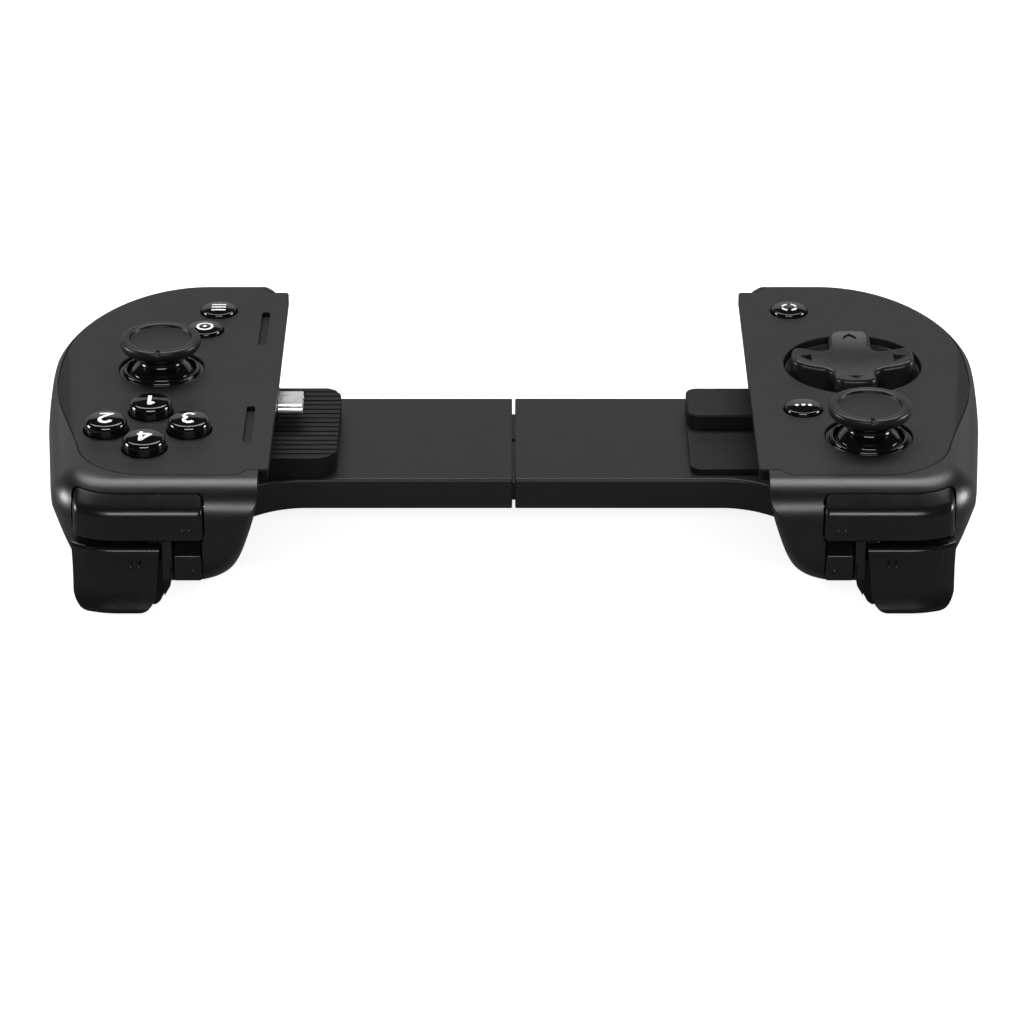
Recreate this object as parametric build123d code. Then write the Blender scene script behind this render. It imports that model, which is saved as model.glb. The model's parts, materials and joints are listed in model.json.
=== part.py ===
from build123d import *
import os
from math import atan2, cos, degrees, hypot, radians, sin, sqrt

os.makedirs("parts", exist_ok=True)

# A telescopic game controller: two pods on a sliding bridge, with room for a phone between them.
# Lengths are millimetres. X runs along the bridge, +Y points away from the shoulder buttons and
# +Z out of the face plates. Pieces are drawn with Z 0 on top of the face plates and Y 0 at the
# near end of the plates' inner strips, for a pod on the +X side. U is the distance from the seam
# between the bridge halves, so one drawing serves both pods, and the -X one is its mirror image.
# The pods are named for the player's hands: the player holds the far ends, past +Y, with the
# shoulder buttons turned away, which puts the right hand at -X.

# Gap and pods
GAP_HALF = 48.2            # from the seam to a face plate's inner edge, closed
LIP = 2.0                  # a plate's overhang past the pod's inner wall
POD_W = 44.8               # inner wall to the widest point
REACH = 10.0               # shoulder face, in front of Y 0
FAR_Y = 90.0               # far edge of the pods
BODY_DEPTH = 30.5          # face plate to the flat under the grip
WIDE_SHARE = 0.57          # where the pod is widest, as a share of its length
FLAT_SHARE = 0.335         # straight part of the far edge, as a share of the width
SIDE_R = 270.0             # gentle curve of the outer side
CORNER_R = 14.0            # outer shoulder corner, seen from above
ROLL_R = 7.0               # roll from the face to the shoulder
RIM_R = 2.0                # roll along the outer and far edges
WALL = 2.0
FLARE_DEG = 6.4            # the shoulder roll's outer line leans out by this
CORNER_INSET = 3.5         # the corner's arc starts this much further in than a square corner's would

WALL_IN = GAP_HALF + LIP
POD_OUT = WALL_IN + POD_W
NEAR_Y = -REACH
CORNER_U = WALL_IN + POD_W - CORNER_R - CORNER_INSET
CORNER_Y = NEAR_Y + CORNER_R
OVERRUN = 20.0             # how far a cutting or trimming solid runs past what it cuts

# Face plates
PLATE_T = 2.4
SEAM = 0.15                # gap around a plate
STRIP_END = 85.5           # far end of the inner strip
STRIP_W = 3.3
STEP_W = 3.2
STEP = 2.4                 # the plate's near edge lies this far in front of the strip
SEAM_R = 14.5              # the plate's outer near corner
SEAM_SWEEP = 78.0
SEAM_U_SHARE = 0.487       # where that corner starts, as a share of the width
PLATE_INSET = 1.2          # plate edge, in from the outer and far sides
PLATE_CORNER_R = 0.8
LEDGE = 1.5                # width of the ledge that the plate sits on

# Moulded grip: level slices through the housing, as shares of its depth, width and length
SLICE_SHARES = [
    # depth, inner inset, outer inset, near inset, far inset, near inner corner, far inner corner
    (-0.03, 0.000, -0.030, -0.002, -0.010, 0.06, 0.21),
    (0.16, 0.004, -0.018, -0.002, -0.004, 0.06, 0.21),
    (0.40, 0.048, 0.036, 0.003, 0.018, 0.10, 0.21),
    (0.60, 0.098, 0.098, 0.012, 0.060, 0.17, 0.23),
    (0.77, 0.168, 0.185, 0.084, 0.144, 0.26, 0.26),
    (0.90, 0.244, 0.285, 0.182, 0.240, 0.30, 0.30),
    (1.00, 0.320, 0.410, 0.280, 0.350, 0.30, 0.30),
]
ELLIPSE_K_SHARE = 0.5523   # handle length that makes a quarter ellipse
HANDLE_SHARE = 1 / 3       # handle length of a gentle curve, as a share of its run

# Sliding bridge
BRIDGE_NEAR = 24.2
BRIDGE_FAR = 63.0
BRIDGE_TOP = 14.3          # below the face plates
BRIDGE_T = 6.6
SEAM_GAP = 0.6             # between the two halves, closed
SLEEVE_WALL = 1.2
SLEEVE_EDGE_R = 0.8
FLARE = 6.0                # how far the halves widen where they meet the pods
FLARE_START = 8.0          # the flare begins this far before the pod's wall
FLARE_END = 5.0            # and ends this far past it
FLARE_EASE_SHARE = 1 / 3   # how hard the flare turns at its end, as a share of its run
SLEEVE_ROOT = 10.0         # length of the sleeve inside the pod
COVER_T = 1.1
SLIDE_GAP = 0.2            # running gap between rail and sleeve
FAR_WALL = 5.0             # far wall of a bridge half
TRAVEL = 38.0              # each pod's travel along the rail
RAIL_HELD = 20.0           # rail left in a pod at full travel, past the seam's middle
RAIL_HALF = TRAVEL + RAIL_HELD
SPRING_R = 1.35
SPRING_BORE = 0.9
SPRING_GROOVE = 0.25
SPRING_Y_SHARES = {"right": 0.2, "left": 0.8}
SPRING_WEB = 1.6           # web of the rail between the two springs
SPRING_POST = 1.6
CABLE_W = 8.0
CABLE_T = 0.4

# Docking pads under the phone
PAD_IN = GAP_HALF - 12.2   # from the seam
PAD_T = 4.4
PAD_NEAR = 25.0
PAD_FAR = 58.6
PAD_R = 4.5
RIB_PITCH = 2.1
RIB_GROOVE = 0.55
LOW_PAD_T = 1.2
LOW_PAD_NEAR = 26.5
BLOCK_NEAR = 45.3

# Phone plug
PLUG_W = 8.25
PLUG_T = 2.4
PLUG_LEN = 6.65
PLUG_WALL = 0.3
PLUG_LIP_R = 0.18
PLUG_Y = 43.0
PLUG_DROP = 6.1            # plug axis below the face plates
PLUG_REACH = 6.8           # plug tip beyond the pod's inner wall
TONGUE_T = 0.7
HOLDER_RIM = 1.1
HOLDER_LEN = 5.0

# Thumb sticks
STICK_PIVOT = 5.8          # pivot below the face plates
STICK_HOLE_R = 8.8
BEZEL_CLEAR = 0.1
BEZEL_IN_R = 7.1
BEZEL_SINK = 0.35          # bezel's top below the face plate
BEZEL_FLANGE = 1.2
BEZEL_FLANGE_T = 0.9
DUST_CLEAR = 0.35
DUST_R = 8.3               # dust cap, a sphere about the pivot
DUST_T = 0.6
DUST_SWEEP = 76.0
CAP_R = 8.2
CAP_TOP = 7.0
CAP_EDGE = 2.3             # height of the cap's rim
CAP_EDGE_R = 0.7
CAP_NECK_R = 3.4
DISH_R = 6.3
DISH_DEPTH = 0.8
DISH_FLAT_SHARE = 0.6      # nearly flat middle of the dish
RING_R = 5.6               # groove in the thumb dish
RING_W = 0.5
RING_DEPTH = 0.65          # below the rim
TICK_W = 1.6               # notch in the rim, towards the shoulder
STEM_R = 1.5
CLICK = 0.5
FIT = 0.05                 # radial running clearance of the small pins
BASE_W = 10.0              # stick base, a square box open at the top
BASE_RISE = 1.2
BASE_WALL = 0.8
BASE_FLOOR = 0.6
YOKE_X = 8.0
YOKE_Y = 7.4
YOKE_T = 1.5
YOKE_BAR = 1.0
GIMBAL_W = 4.4
PIN_R = 0.55
PIN_BITE = 0.7
STEM_FOOT_R = 1.0
STEM_SEAT = 1.8            # depth of the stem's socket in the cap

# Buttons
BUTTON_R = 4.35
BUTTON_RISE = 2.8
BUTTON_TRAVEL = 1.2
SMALL_R = 3.75
SMALL_RISE = 1.0
SMALL_TRAVEL = 0.7
BUTTON_CLEAR = 0.2
BUTTON_DOME = 0.7          # height of a face button's rounded top
SMALL_DOME = 0.25
BUTTON_EDGE_R = 0.3
FLANGE_W = 0.75
FLANGE_T = 0.8
FLANGE_GAP = 0.1
PLUNGER_R = 1.5
PLUNGER_DROP = 5.6         # foot of a plunger below the face plates

# Direction pad
DPAD_HOLE_R = 14.2
CROSS_R = 12.7
CROSS_ARM = 8.5
CROSS_RISE = 2.3
CROSS_DISH = 0.5           # depth of the cross's hollow top
CROSS_DISH_R = 60.0
CROSS_EDGE_R = 0.8
CROSS_TIP_R = 1.5          # corners of the arms
CROSS_CROOK_R = 1.7        # corners between the arms
DPAD_FLANGE_R = 15.2
DPAD_FLANGE_T = 0.9
DPAD_DROP = 4.0            # flange top below the face plates
DPAD_PIVOT = 5.6
BALL_R = 1.6

# Boards and mats
BOARD_TOP = 8.4            # below the face plates
BOARD_T = 1.0
BOARD_GAP = 0.5
MAT_T = 0.8
MAT_RIM = 2.0              # rubber left around a row of domes
DOME_R = 2.4
DOME_TOP_R = 1.7
STEP_GAP = 0.1
BOSS_R = 2.4
SCREW_R = 0.9
SCREW_HEAD_R = 1.8
SCREW_HEAD_T = 1.4
SCREW_BITE = 3.5
SCREW_CLEAR = 0.15

# Where the controls are, as (U, Y)
FACE_CENTRE = (GAP_HALF + 25.0, 17.9)
FACE_SPREAD = 8.3
RIGHT_STICK = (GAP_HALF + 24.4, 47.1)
LEFT_STICK = (GAP_HALF + 22.6, 15.2)
DPAD_AT = (GAP_HALF + 21.8, 49.0)
MENU_AT = (GAP_HALF + 14.4, 75.6)
HOME_AT = (GAP_HALF + 16.7, 65.8)
CAPTURE_AT = (GAP_HALF + 10.3, 75.6)
DOTS_AT = (GAP_HALF + 10.3, 27.4)
RIGHT_SCREWS = [(GAP_HALF + 9.2, 11.5), (GAP_HALF + 38.8, 33.5), (GAP_HALF + 31.8, 66.5)]
LEFT_SCREWS = [(GAP_HALF + 9.2, 11.5), (GAP_HALF + 38.8, 33.5), (GAP_HALF + 30.8, 70.0)]
SLOTS = [(GAP_HALF + 4.3, 66.8), (GAP_HALF + 4.9, 20.5)]
SLOT_LEN = 16.8
SLOT_W = 1.7
SLOT_DEPTH = 0.9

# Shoulder controls: side profiles as (Y, Z), before their corners are rounded
BUMPER_FRONT = 11.2
BUMPER_LINE = 7.3          # the roll is cut here, in front of Y 0
BUMPER_BACK = 3.6
BUMPER_TOP = 1.7
BUMPER_BROW = 3.3
BUMPER_SKIN = 3.1          # roll left over the bumper's tongue
BUMPER_FLOOR = 10.4
BUMPER_LIFT = 1.0          # room for the tongue to swing up
BUMPER_DIP = 0.25          # and for the lower front edge to swing down
BUMPER_DIP_Y = -8.4        # that room ends here
BUMPER_IN = GAP_HALF + 12.3
BUMPER_OUT = GAP_HALF + 38.0
BUMPER_CORNER_R = 1.2
BROW_R = 1.5
SHOULDER_CLEAR = 0.25
PIECE_ARC = 68             # how far a shoulder control runs round the corner
POCKET_ARC = 90            # and how far its pocket does
POCKET_RUN = 5.0           # a pocket runs out this far in front of its control
BUMPER_BACK_CLEAR = 1.5
BUMPER_PIN = (-6.3, -4.9)  # bumper's pin, as (Y, Z)
BUMPER_PIN_R = 0.8
EDGE_R = 0.9
TRIGGER_IN = GAP_HALF + 20.8
TRIGGER_OUT = GAP_HALF + 38.3
TRIGGER_TOP = 11.4
TRIGGER_FRONT = 12.2
TRIGGER_WAIST = 11.5
TRIGGER_WAIST_Z = 18.0
TRIGGER_TIP = 13.6
TRIGGER_TIP_Z = 25.4
TRIGGER_PAD_T = 2.6
TRIGGER_SLANT = 1.5        # the inner edge leans out by this towards the tip
TRIGGER_IN_R = 4.6         # lower corners, seen from the front
TRIGGER_OUT_R = 4.2
TRIGGER_TOP_R = 1.0
TRIGGER_HUB_IN = GAP_HALF + 23.4
TRIGGER_HUB_OUT = GAP_HALF + 35.2
TRIGGER_PIN = (-4.6, -13.4)
TRIGGER_PIN_R = 1.0
TRIGGER_PIN_HELD = 1.1     # length of each end of the pin inside the housing
TRIGGER_DEG = 15.0
HUB_R = 2.2
COIL_T = 0.6               # trigger's torsion spring
COIL_CLEAR = 0.2
KEY_IN = GAP_HALF + 12.9   # small shoulder button
KEY_OUT = GAP_HALF + 18.4
KEY_FRONT = 10.0
KEY_BACK = 6.6
KEY_TOP = 14.0
KEY_BROW = 2.0             # rise of its sloping top
KEY_FLOOR = 19.5
KEY_TRAVEL = 0.8
KEY_STEM = 2.6
KEY_STEM_INSET = 1.0
KEY_ROOF = 10.2
CHEEK = 1.7                # wall between the trigger and the small button
LOBE_BACK = 14.0
LOBE_FLOOR = 27.2
LOBE_SHOULDER = 20.7
LOBE_SLANT = 3.0
LOBE_OUT = GAP_HALF + 35.8
LOBE_R = 3.2
LOBE_SIDE_R = 2.4

FACE_Z = BODY_DEPTH        # height of the face plates over what the grips stand on


def mirror_x(piece):
    """The same piece for the pod on the -X side."""
    return mirror(piece, about=Plane.YZ)


def prism(sketch, top, bottom):
    """Upright solid of a plan sketch between two levels."""
    return extrude(Pos(0, 0, bottom) * sketch, top - bottom)


def along_x(sketch, start, end):
    """Solid of a (Y, Z) sketch between two distances along X."""
    return extrude(Pos(start, 0, 0) * (Plane.YZ * sketch), end - start)


def block(u0, u1, y0, y1, z0, z1):
    return Pos((u0 + u1) / 2, (y0 + y1) / 2, (z0 + z1) / 2) * Box(u1 - u0, y1 - y0, z1 - z0)


def drum(at, radius, top, bottom):
    """Upright cylinder at a (U, Y) place between two levels."""
    return Pos(at[0], at[1], (top + bottom) / 2) * Cylinder(radius, top - bottom)


def centre_shift():
    """Distance along Y that centres the whole controller, from the triggers' tips to the far edge."""
    return -(FAR_Y + make_trigger().bounding_box().min.Y) / 2


def save(name, piece, shift):
    """Stand the piece on its rest plane, centred along Y, and write it."""
    export_step(Pos(0, shift, FACE_Z) * piece, f"parts/{name}.step")


def quarter_ellipse(flat_u, far, out, wide):
    """Edge from the end of the straight far edge round to the widest point."""
    du = (out - flat_u) * ELLIPSE_K_SHARE
    dy = (far - wide) * ELLIPSE_K_SHARE
    return Bezier((flat_u, far), (flat_u + du, far), (out, wide + dy), (out, wide))


def side_point(out, wide, y):
    """Point on the outer side's gentle arc, level with y."""
    return (out - SIDE_R + sqrt(SIDE_R**2 - (wide - y) ** 2), y)


def far_outline(inner):
    """Plan of the outer and far sides, open towards the shoulder by an overrun."""
    flat_u = WALL_IN + POD_W * FLAT_SHARE
    wide = NEAR_Y + (FAR_Y - NEAR_Y) * WIDE_SHARE
    low = NEAR_Y - OVERRUN
    middle = (wide + low) / 2
    edges = [
        Line((inner, FAR_Y), (flat_u, FAR_Y)),
        quarter_ellipse(flat_u, FAR_Y, POD_OUT, wide),
        ThreePointArc((POD_OUT, wide), side_point(POD_OUT, wide, middle), side_point(POD_OUT, wide, low)),
        Line(side_point(POD_OUT, wide, low), (inner, low)),
        Line((inner, low), (inner, FAR_Y)),
    ]
    return make_face(edges)


def shoulder_outline(inner):
    """Plan of the shoulder face and its outer corner, which runs out past the far side."""
    lean = radians(FLARE_DEG)
    half = radians(90 - FLARE_DEG) / 2

    def corner(angle):
        return (CORNER_U + CORNER_R * sin(angle), CORNER_Y - CORNER_R * cos(angle))

    end = corner(2 * half)
    far = FAR_Y + OVERRUN
    top = (end[0] + (far - end[1]) * sin(lean) / cos(lean), far)
    edges = [
        Line((inner, NEAR_Y), (CORNER_U, NEAR_Y)),
        ThreePointArc((CORNER_U, NEAR_Y), corner(half), end),
        Line(end, top),
        Line(top, (inner, far)),
        Line((inner, far), (inner, NEAR_Y)),
    ]
    return make_face(edges)


def crown(inner, depth):
    """The pod's outer form at the top: a tight rim outside, a soft roll at the shoulder.

    The face plate and the housing are both cut from it, so they meet flush all round.
    """
    rim = prism(far_outline(inner), 0, -depth)
    rim_edges = rim.edges().group_by(Axis.Z)[-1].filter_by(
        lambda e: e.center().X > inner + LIP and e.center().Y > NEAR_Y - OVERRUN / 2
    )
    rim = fillet(rim_edges, RIM_R)
    roll = prism(shoulder_outline(inner), 0, -depth)
    roll_edges = roll.edges().group_by(Axis.Z)[-1].filter_by(
        lambda e: e.center().X > inner + LIP and e.center().Y < FAR_Y
    )
    roll = fillet(roll_edges, ROLL_R)
    return rim & roll


def plate_outline(grow):
    """Plan of a face plate, grown by a gap or shrunk to a ledge."""
    inner = GAP_HALF - grow
    near = -STEP - grow
    strip_u = GAP_HALF + STRIP_W
    step_u = strip_u + STEP_W
    half_step = STEP_W / 2
    out = POD_OUT - PLATE_INSET + grow
    far = FAR_Y - PLATE_INSET + grow
    wide = NEAR_Y + (FAR_Y - NEAR_Y) * WIDE_SHARE
    flat_u = WALL_IN + POD_W * FLAT_SHARE
    arc_u = WALL_IN + POD_W * SEAM_U_SHARE
    arc_r = SEAM_R + grow
    arc_y = -STEP + SEAM_R

    def seam(degree):
        return (arc_u + arc_r * sin(radians(degree)), arc_y - arc_r * cos(radians(degree)))

    end = seam(SEAM_SWEEP)
    pull = (wide - end[1]) * HANDLE_SHARE
    lead = (end[0] + pull * cos(radians(SEAM_SWEEP)), end[1] + pull * sin(radians(SEAM_SWEEP)))
    edges = [
        Line((inner, -grow), (strip_u, -grow)),
        Bezier((strip_u, -grow), (strip_u + half_step, -grow), (step_u - half_step, near), (step_u, near)),
        Line((step_u, near), (arc_u, near)),
        ThreePointArc((arc_u, near), seam(SEAM_SWEEP / 2), end),
        Bezier(end, lead, (out, wide - pull), (out, wide)),
        quarter_ellipse(flat_u, far, out, wide),
        Line((flat_u, far), (step_u, far)),
        Bezier((step_u, far), (step_u - half_step, far), (strip_u + half_step, STRIP_END + grow),
               (strip_u, STRIP_END + grow)),
        Line((strip_u, STRIP_END + grow), (inner, STRIP_END + grow)),
        Line((inner, STRIP_END + grow), (inner, -grow)),
    ]
    face = make_face(edges)
    corners = face.vertices().group_by(Axis.X)[0]
    return fillet(corners, PLATE_CORNER_R)


def grip_slice(shares, shrink):
    """One level slice of the moulded grip, drawn in by a wall thickness."""
    depth_share, in_share, out_share, near_share, far_share, near_corner_share, far_corner_share = shares
    length = FAR_Y - NEAR_Y
    inner = WALL_IN + POD_W * in_share + shrink
    out = POD_OUT - POD_W * out_share - shrink
    near = NEAR_Y + length * near_share + shrink
    far = FAR_Y - length * far_share - shrink
    wide = near + (far - near) * WIDE_SHARE
    flat_u = inner + (out - inner) * FLAT_SHARE
    near_r = (out - inner) * near_corner_share
    far_r = (out - inner) * far_corner_share
    corner_r = CORNER_R * (out - inner) / POD_W
    join_y = near + corner_r
    join = side_point(out, wide, join_y)
    centre = (join[0] - corner_r, join_y)
    bend = cos(radians(45))
    edges = [
        Line((inner + near_r, near), (centre[0], near)),
        ThreePointArc((centre[0], near), (centre[0] + corner_r * bend, join_y - corner_r * bend), join),
        ThreePointArc(join, side_point(out, wide, (join_y + wide) / 2), (out, wide)),
        quarter_ellipse(flat_u, far, out, wide),
        Line((flat_u, far), (inner + far_r, far)),
        ThreePointArc((inner + far_r, far), (inner + far_r * (1 - bend), far - far_r * (1 - bend)),
                      (inner, far - far_r)),
        Line((inner, far - far_r), (inner, near + near_r)),
        ThreePointArc((inner, near + near_r), (inner + near_r * (1 - bend), near + near_r * (1 - bend)),
                      (inner + near_r, near)),
    ]
    level = -BODY_DEPTH * depth_share
    if shrink > 0:
        level = level + shrink * depth_share
    return Pos(0, 0, level) * make_face(edges)


def grip_form(shrink):
    """The grip as one smooth skin through its level slices."""
    return loft([grip_slice(row, shrink) for row in SLICE_SHARES])


def shoulder_run(sketch, start, reach, arc):
    """A (Y, Z) profile carried along the shoulder and round its outer corner, cut off at reach."""
    straight = along_x(sketch, start, CORNER_U)
    turn = Axis((CORNER_U, CORNER_Y, 0), (0, 0, 1))
    bent = revolve(Pos(CORNER_U, 0, 0) * (Plane.YZ * sketch), turn, revolution_arc=arc)
    run = straight + bent
    low = -BODY_DEPTH - OVERRUN
    return run & block(start - OVERRUN, reach, NEAR_Y - OVERRUN, FAR_Y, low, OVERRUN)


def polygon(points):
    return make_face(Polyline(*points, close=True))


def bumper_profile(grow, back_grow, lift):
    """Side profile of the bumper: sloping brow, upright face and a tongue under the roll."""
    front = -BUMPER_FRONT - grow
    line = -BUMPER_LINE + grow
    back = -BUMPER_BACK + back_grow
    tongue = -BUMPER_SKIN - BUMPER_LIFT + lift
    return [
        (front, -BUMPER_FLOOR - grow),
        (front, -BUMPER_BROW + grow),
        (line, -BUMPER_TOP + grow),
        (line, tongue),
        (back, tongue),
        (back, -BUMPER_FLOOR - grow),
    ]


def bumper_face(grow):
    """The bumper's outline seen from the front, with round corners, carried backwards."""
    width = BUMPER_OUT - BUMPER_IN + 2 * grow
    height = BUMPER_FLOOR - BUMPER_TOP + 2 * grow
    face = Pos((BUMPER_IN + BUMPER_OUT) / 2, -(BUMPER_TOP + BUMPER_FLOOR) / 2) * RectangleRounded(
        width, height, BUMPER_CORNER_R + grow)
    return along_y(face, NEAR_Y - OVERRUN, OVERRUN)


def make_bumper():
    profile = polygon(bumper_profile(0, 0, 0))

    def at_brow(corner):
        return abs(corner.X + BUMPER_FRONT) < FIT

    brow = profile.vertices().filter_by(at_brow)
    profile = fillet(brow.sort_by(Axis.Y)[0], EDGE_R)
    profile = fillet(profile.vertices().filter_by(at_brow).sort_by(Axis.Y)[-1], BROW_R)
    bumper = shoulder_run(profile, BUMPER_IN, BUMPER_OUT, PIECE_ARC)
    bumper = bumper & bumper_face(0)
    pin_y, pin_z = BUMPER_PIN
    bore = along_x(Pos(pin_y, pin_z) * Circle(BUMPER_PIN_R + FIT), BUMPER_IN - OVERRUN, CORNER_U)
    return bumper - bore


def make_bumper_pin():
    """Pin that the bumper swings on, held in the housing at its inner end."""
    pin_y, pin_z = BUMPER_PIN
    return along_x(Pos(pin_y, pin_z) * Circle(BUMPER_PIN_R), BUMPER_IN - WALL, CORNER_U)


def bumper_pocket():
    """Room for the bumper; its front and the slope above its brow are open."""
    points = bumper_profile(SHOULDER_CLEAR, BUMPER_BACK_CLEAR, BUMPER_LIFT)
    front = -BUMPER_FRONT - POCKET_RUN
    floor = points[0][1] - SHOULDER_CLEAR
    points[0] = (front, floor)
    points[1] = (front, 0)
    points[2] = (points[2][0], 0)
    points[5] = (points[5][0], floor)
    reach = BUMPER_OUT + SHOULDER_CLEAR
    pocket = shoulder_run(polygon(points), BUMPER_IN - SHOULDER_CLEAR, reach, POCKET_ARC)
    pocket = pocket & bumper_face(SHOULDER_CLEAR)
    dip = block(BUMPER_IN, BUMPER_OUT, NEAR_Y - POCKET_RUN, BUMPER_DIP_Y,
                -BUMPER_FLOOR - SHOULDER_CLEAR - BUMPER_DIP, -BUMPER_FLOOR)
    pin_y, pin_z = BUMPER_PIN
    socket = along_x(Pos(pin_y, pin_z) * Circle(BUMPER_PIN_R), BUMPER_IN - WALL, BUMPER_IN)
    return pocket + dip + socket


def trigger_pad():
    """Finger pad of the trigger: a plate with a waisted face and a tip that flares forward."""
    front_top = (-TRIGGER_FRONT, -TRIGGER_TOP)
    waist = (-TRIGGER_WAIST, -TRIGGER_WAIST_Z)
    tip = (-TRIGGER_TIP, -TRIGGER_TIP_Z)
    back_tip = (-TRIGGER_TIP + TRIGGER_PAD_T, -TRIGGER_TIP_Z)
    back_waist = (-TRIGGER_WAIST + TRIGGER_PAD_T, -TRIGGER_WAIST_Z)
    back_top = (-TRIGGER_FRONT + TRIGGER_PAD_T, -TRIGGER_TOP)
    edges = [
        ThreePointArc(front_top, waist, tip),
        Line(tip, back_tip),
        ThreePointArc(back_tip, back_waist, back_top),
        Line(back_top, front_top),
    ]
    face = make_face(edges)
    lip = face.vertices().filter_by(lambda v: v.X < -TRIGGER_WAIST)
    return fillet(lip, EDGE_R)


def along_y(sketch, start, end):
    """Solid of an (X, Z) sketch between two distances along Y."""
    return extrude(Pos(0, end, 0) * (Plane.XZ * sketch), end - start)


def trigger_outline():
    """The trigger's pad seen from the front, with round lower corners."""
    floor = -TRIGGER_TIP_Z - FIT
    outline = polygon([
        (TRIGGER_IN, -TRIGGER_TOP + EDGE_R),
        (TRIGGER_OUT, -TRIGGER_TOP + EDGE_R),
        (TRIGGER_OUT, floor),
        (TRIGGER_IN + TRIGGER_SLANT, floor),
    ])
    lower = outline.vertices().group_by(Axis.Y)[0].sort_by(Axis.X)
    outline = fillet(lower[0], TRIGGER_IN_R)
    lower = outline.vertices().group_by(Axis.Y)[0].sort_by(Axis.X)
    outline = fillet(lower[-1], TRIGGER_OUT_R)
    return fillet(outline.vertices().group_by(Axis.Y)[-1], TRIGGER_TOP_R)


def make_trigger():
    pad = shoulder_run(trigger_pad(), TRIGGER_IN, TRIGGER_OUT, PIECE_ARC)
    pad = pad & along_y(trigger_outline(), NEAR_Y - OVERRUN, OVERRUN)
    pin_y, pin_z = TRIGGER_PIN
    web = polygon([
        (-TRIGGER_FRONT + TRIGGER_PAD_T / 2, -TRIGGER_TOP),
        (pin_y, pin_z + HUB_R),
        (pin_y + HUB_R / 2, pin_z - HUB_R),
        (-TRIGGER_WAIST + TRIGGER_PAD_T / 2, -TRIGGER_WAIST_Z - HUB_R),
    ])
    web = web + Pos(pin_y, pin_z) * Circle(HUB_R)
    arm = along_x(web, TRIGGER_HUB_IN, TRIGGER_HUB_OUT)
    bore = along_x(Pos(pin_y, pin_z) * Circle(TRIGGER_PIN_R + FIT), TRIGGER_IN - OVERRUN, POD_OUT)
    return pad + arm - bore


def make_trigger_pin():
    pin_y, pin_z = TRIGGER_PIN
    start = TRIGGER_IN - SHOULDER_CLEAR - TRIGGER_PIN_HELD
    end = TRIGGER_HUB_OUT + SHOULDER_CLEAR + TRIGGER_PIN_HELD
    return along_x(Pos(pin_y, pin_z) * Circle(TRIGGER_PIN_R), start, end)


def trigger_pocket():
    """Room for the trigger at rest and pressed, open to the front and below."""
    pin_y, pin_z = TRIGGER_PIN
    room = HUB_R + SHOULDER_CLEAR
    front = -TRIGGER_TIP - POCKET_RUN
    roof = -BUMPER_FLOOR - SHOULDER_CLEAR
    floor = -BODY_DEPTH - OVERRUN
    swing = TRIGGER_TIP_Z * sin(radians(TRIGGER_DEG)) / 2 + SHOULDER_CLEAR
    pad_back = -TRIGGER_FRONT + TRIGGER_PAD_T + 2 * SHOULDER_CLEAR
    pad_room = polygon([
        (front, roof),
        (pad_back, roof),
        (pad_back, -TRIGGER_TOP),
        (pad_back + swing, -TRIGGER_TIP_Z),
        (pad_back + swing, floor),
        (front, floor),
    ])
    hub_room = polygon([
        (front, roof),
        (pin_y + room, roof),
        (pin_y + room, pin_z - room),
        (pad_back + swing + room, -TRIGGER_TIP_Z),
        (pad_back + swing + room, floor),
        (front, floor),
    ])
    pad_cut = shoulder_run(pad_room, TRIGGER_IN - SHOULDER_CLEAR, POD_OUT, POCKET_ARC)
    hub_cut = along_x(hub_room, TRIGGER_HUB_IN - SHOULDER_CLEAR, TRIGGER_HUB_OUT + SHOULDER_CLEAR)
    coil_cut = block(TRIGGER_IN - SHOULDER_CLEAR, TRIGGER_HUB_IN, front, pin_y + room, pin_z - room, roof)
    return pad_cut + hub_cut + coil_cut


def make_key():
    """Small shoulder button with a guide stem behind it."""
    profile = polygon([
        (-KEY_FRONT, -KEY_FLOOR),
        (-KEY_FRONT, -KEY_TOP),
        (-KEY_BACK, -KEY_TOP + KEY_BROW),
        (-KEY_BACK, -KEY_FLOOR),
    ])
    front = profile.vertices().filter_by(lambda v: abs(v.X + KEY_FRONT) < FIT)
    key = along_x(fillet(front, EDGE_R / 2), KEY_IN, KEY_OUT)
    stem = block(KEY_IN + KEY_STEM_INSET, KEY_OUT - KEY_STEM_INSET, -KEY_BACK, -KEY_BACK + KEY_STEM,
                 -KEY_FLOOR + 2 * KEY_STEM_INSET, -KEY_TOP - KEY_STEM_INSET)
    return key + stem


def key_pocket():
    """Recess around the small shoulder button and the guide for its stem."""
    recess = block(KEY_IN - SHOULDER_CLEAR, KEY_OUT + SHOULDER_CLEAR, NEAR_Y - OVERRUN,
                   -KEY_BACK + KEY_TRAVEL + SHOULDER_CLEAR, -BODY_DEPTH, -KEY_ROOF)
    clear = KEY_STEM_INSET - SHOULDER_CLEAR / 2
    back = -KEY_BACK + KEY_STEM + KEY_TRAVEL + SHOULDER_CLEAR
    guide = block(KEY_IN + clear, KEY_OUT - clear, -KEY_BACK, back,
                  -KEY_FLOOR + 2 * KEY_STEM_INSET - SHOULDER_CLEAR / 2, -KEY_TOP - clear)
    return recess + guide


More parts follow.
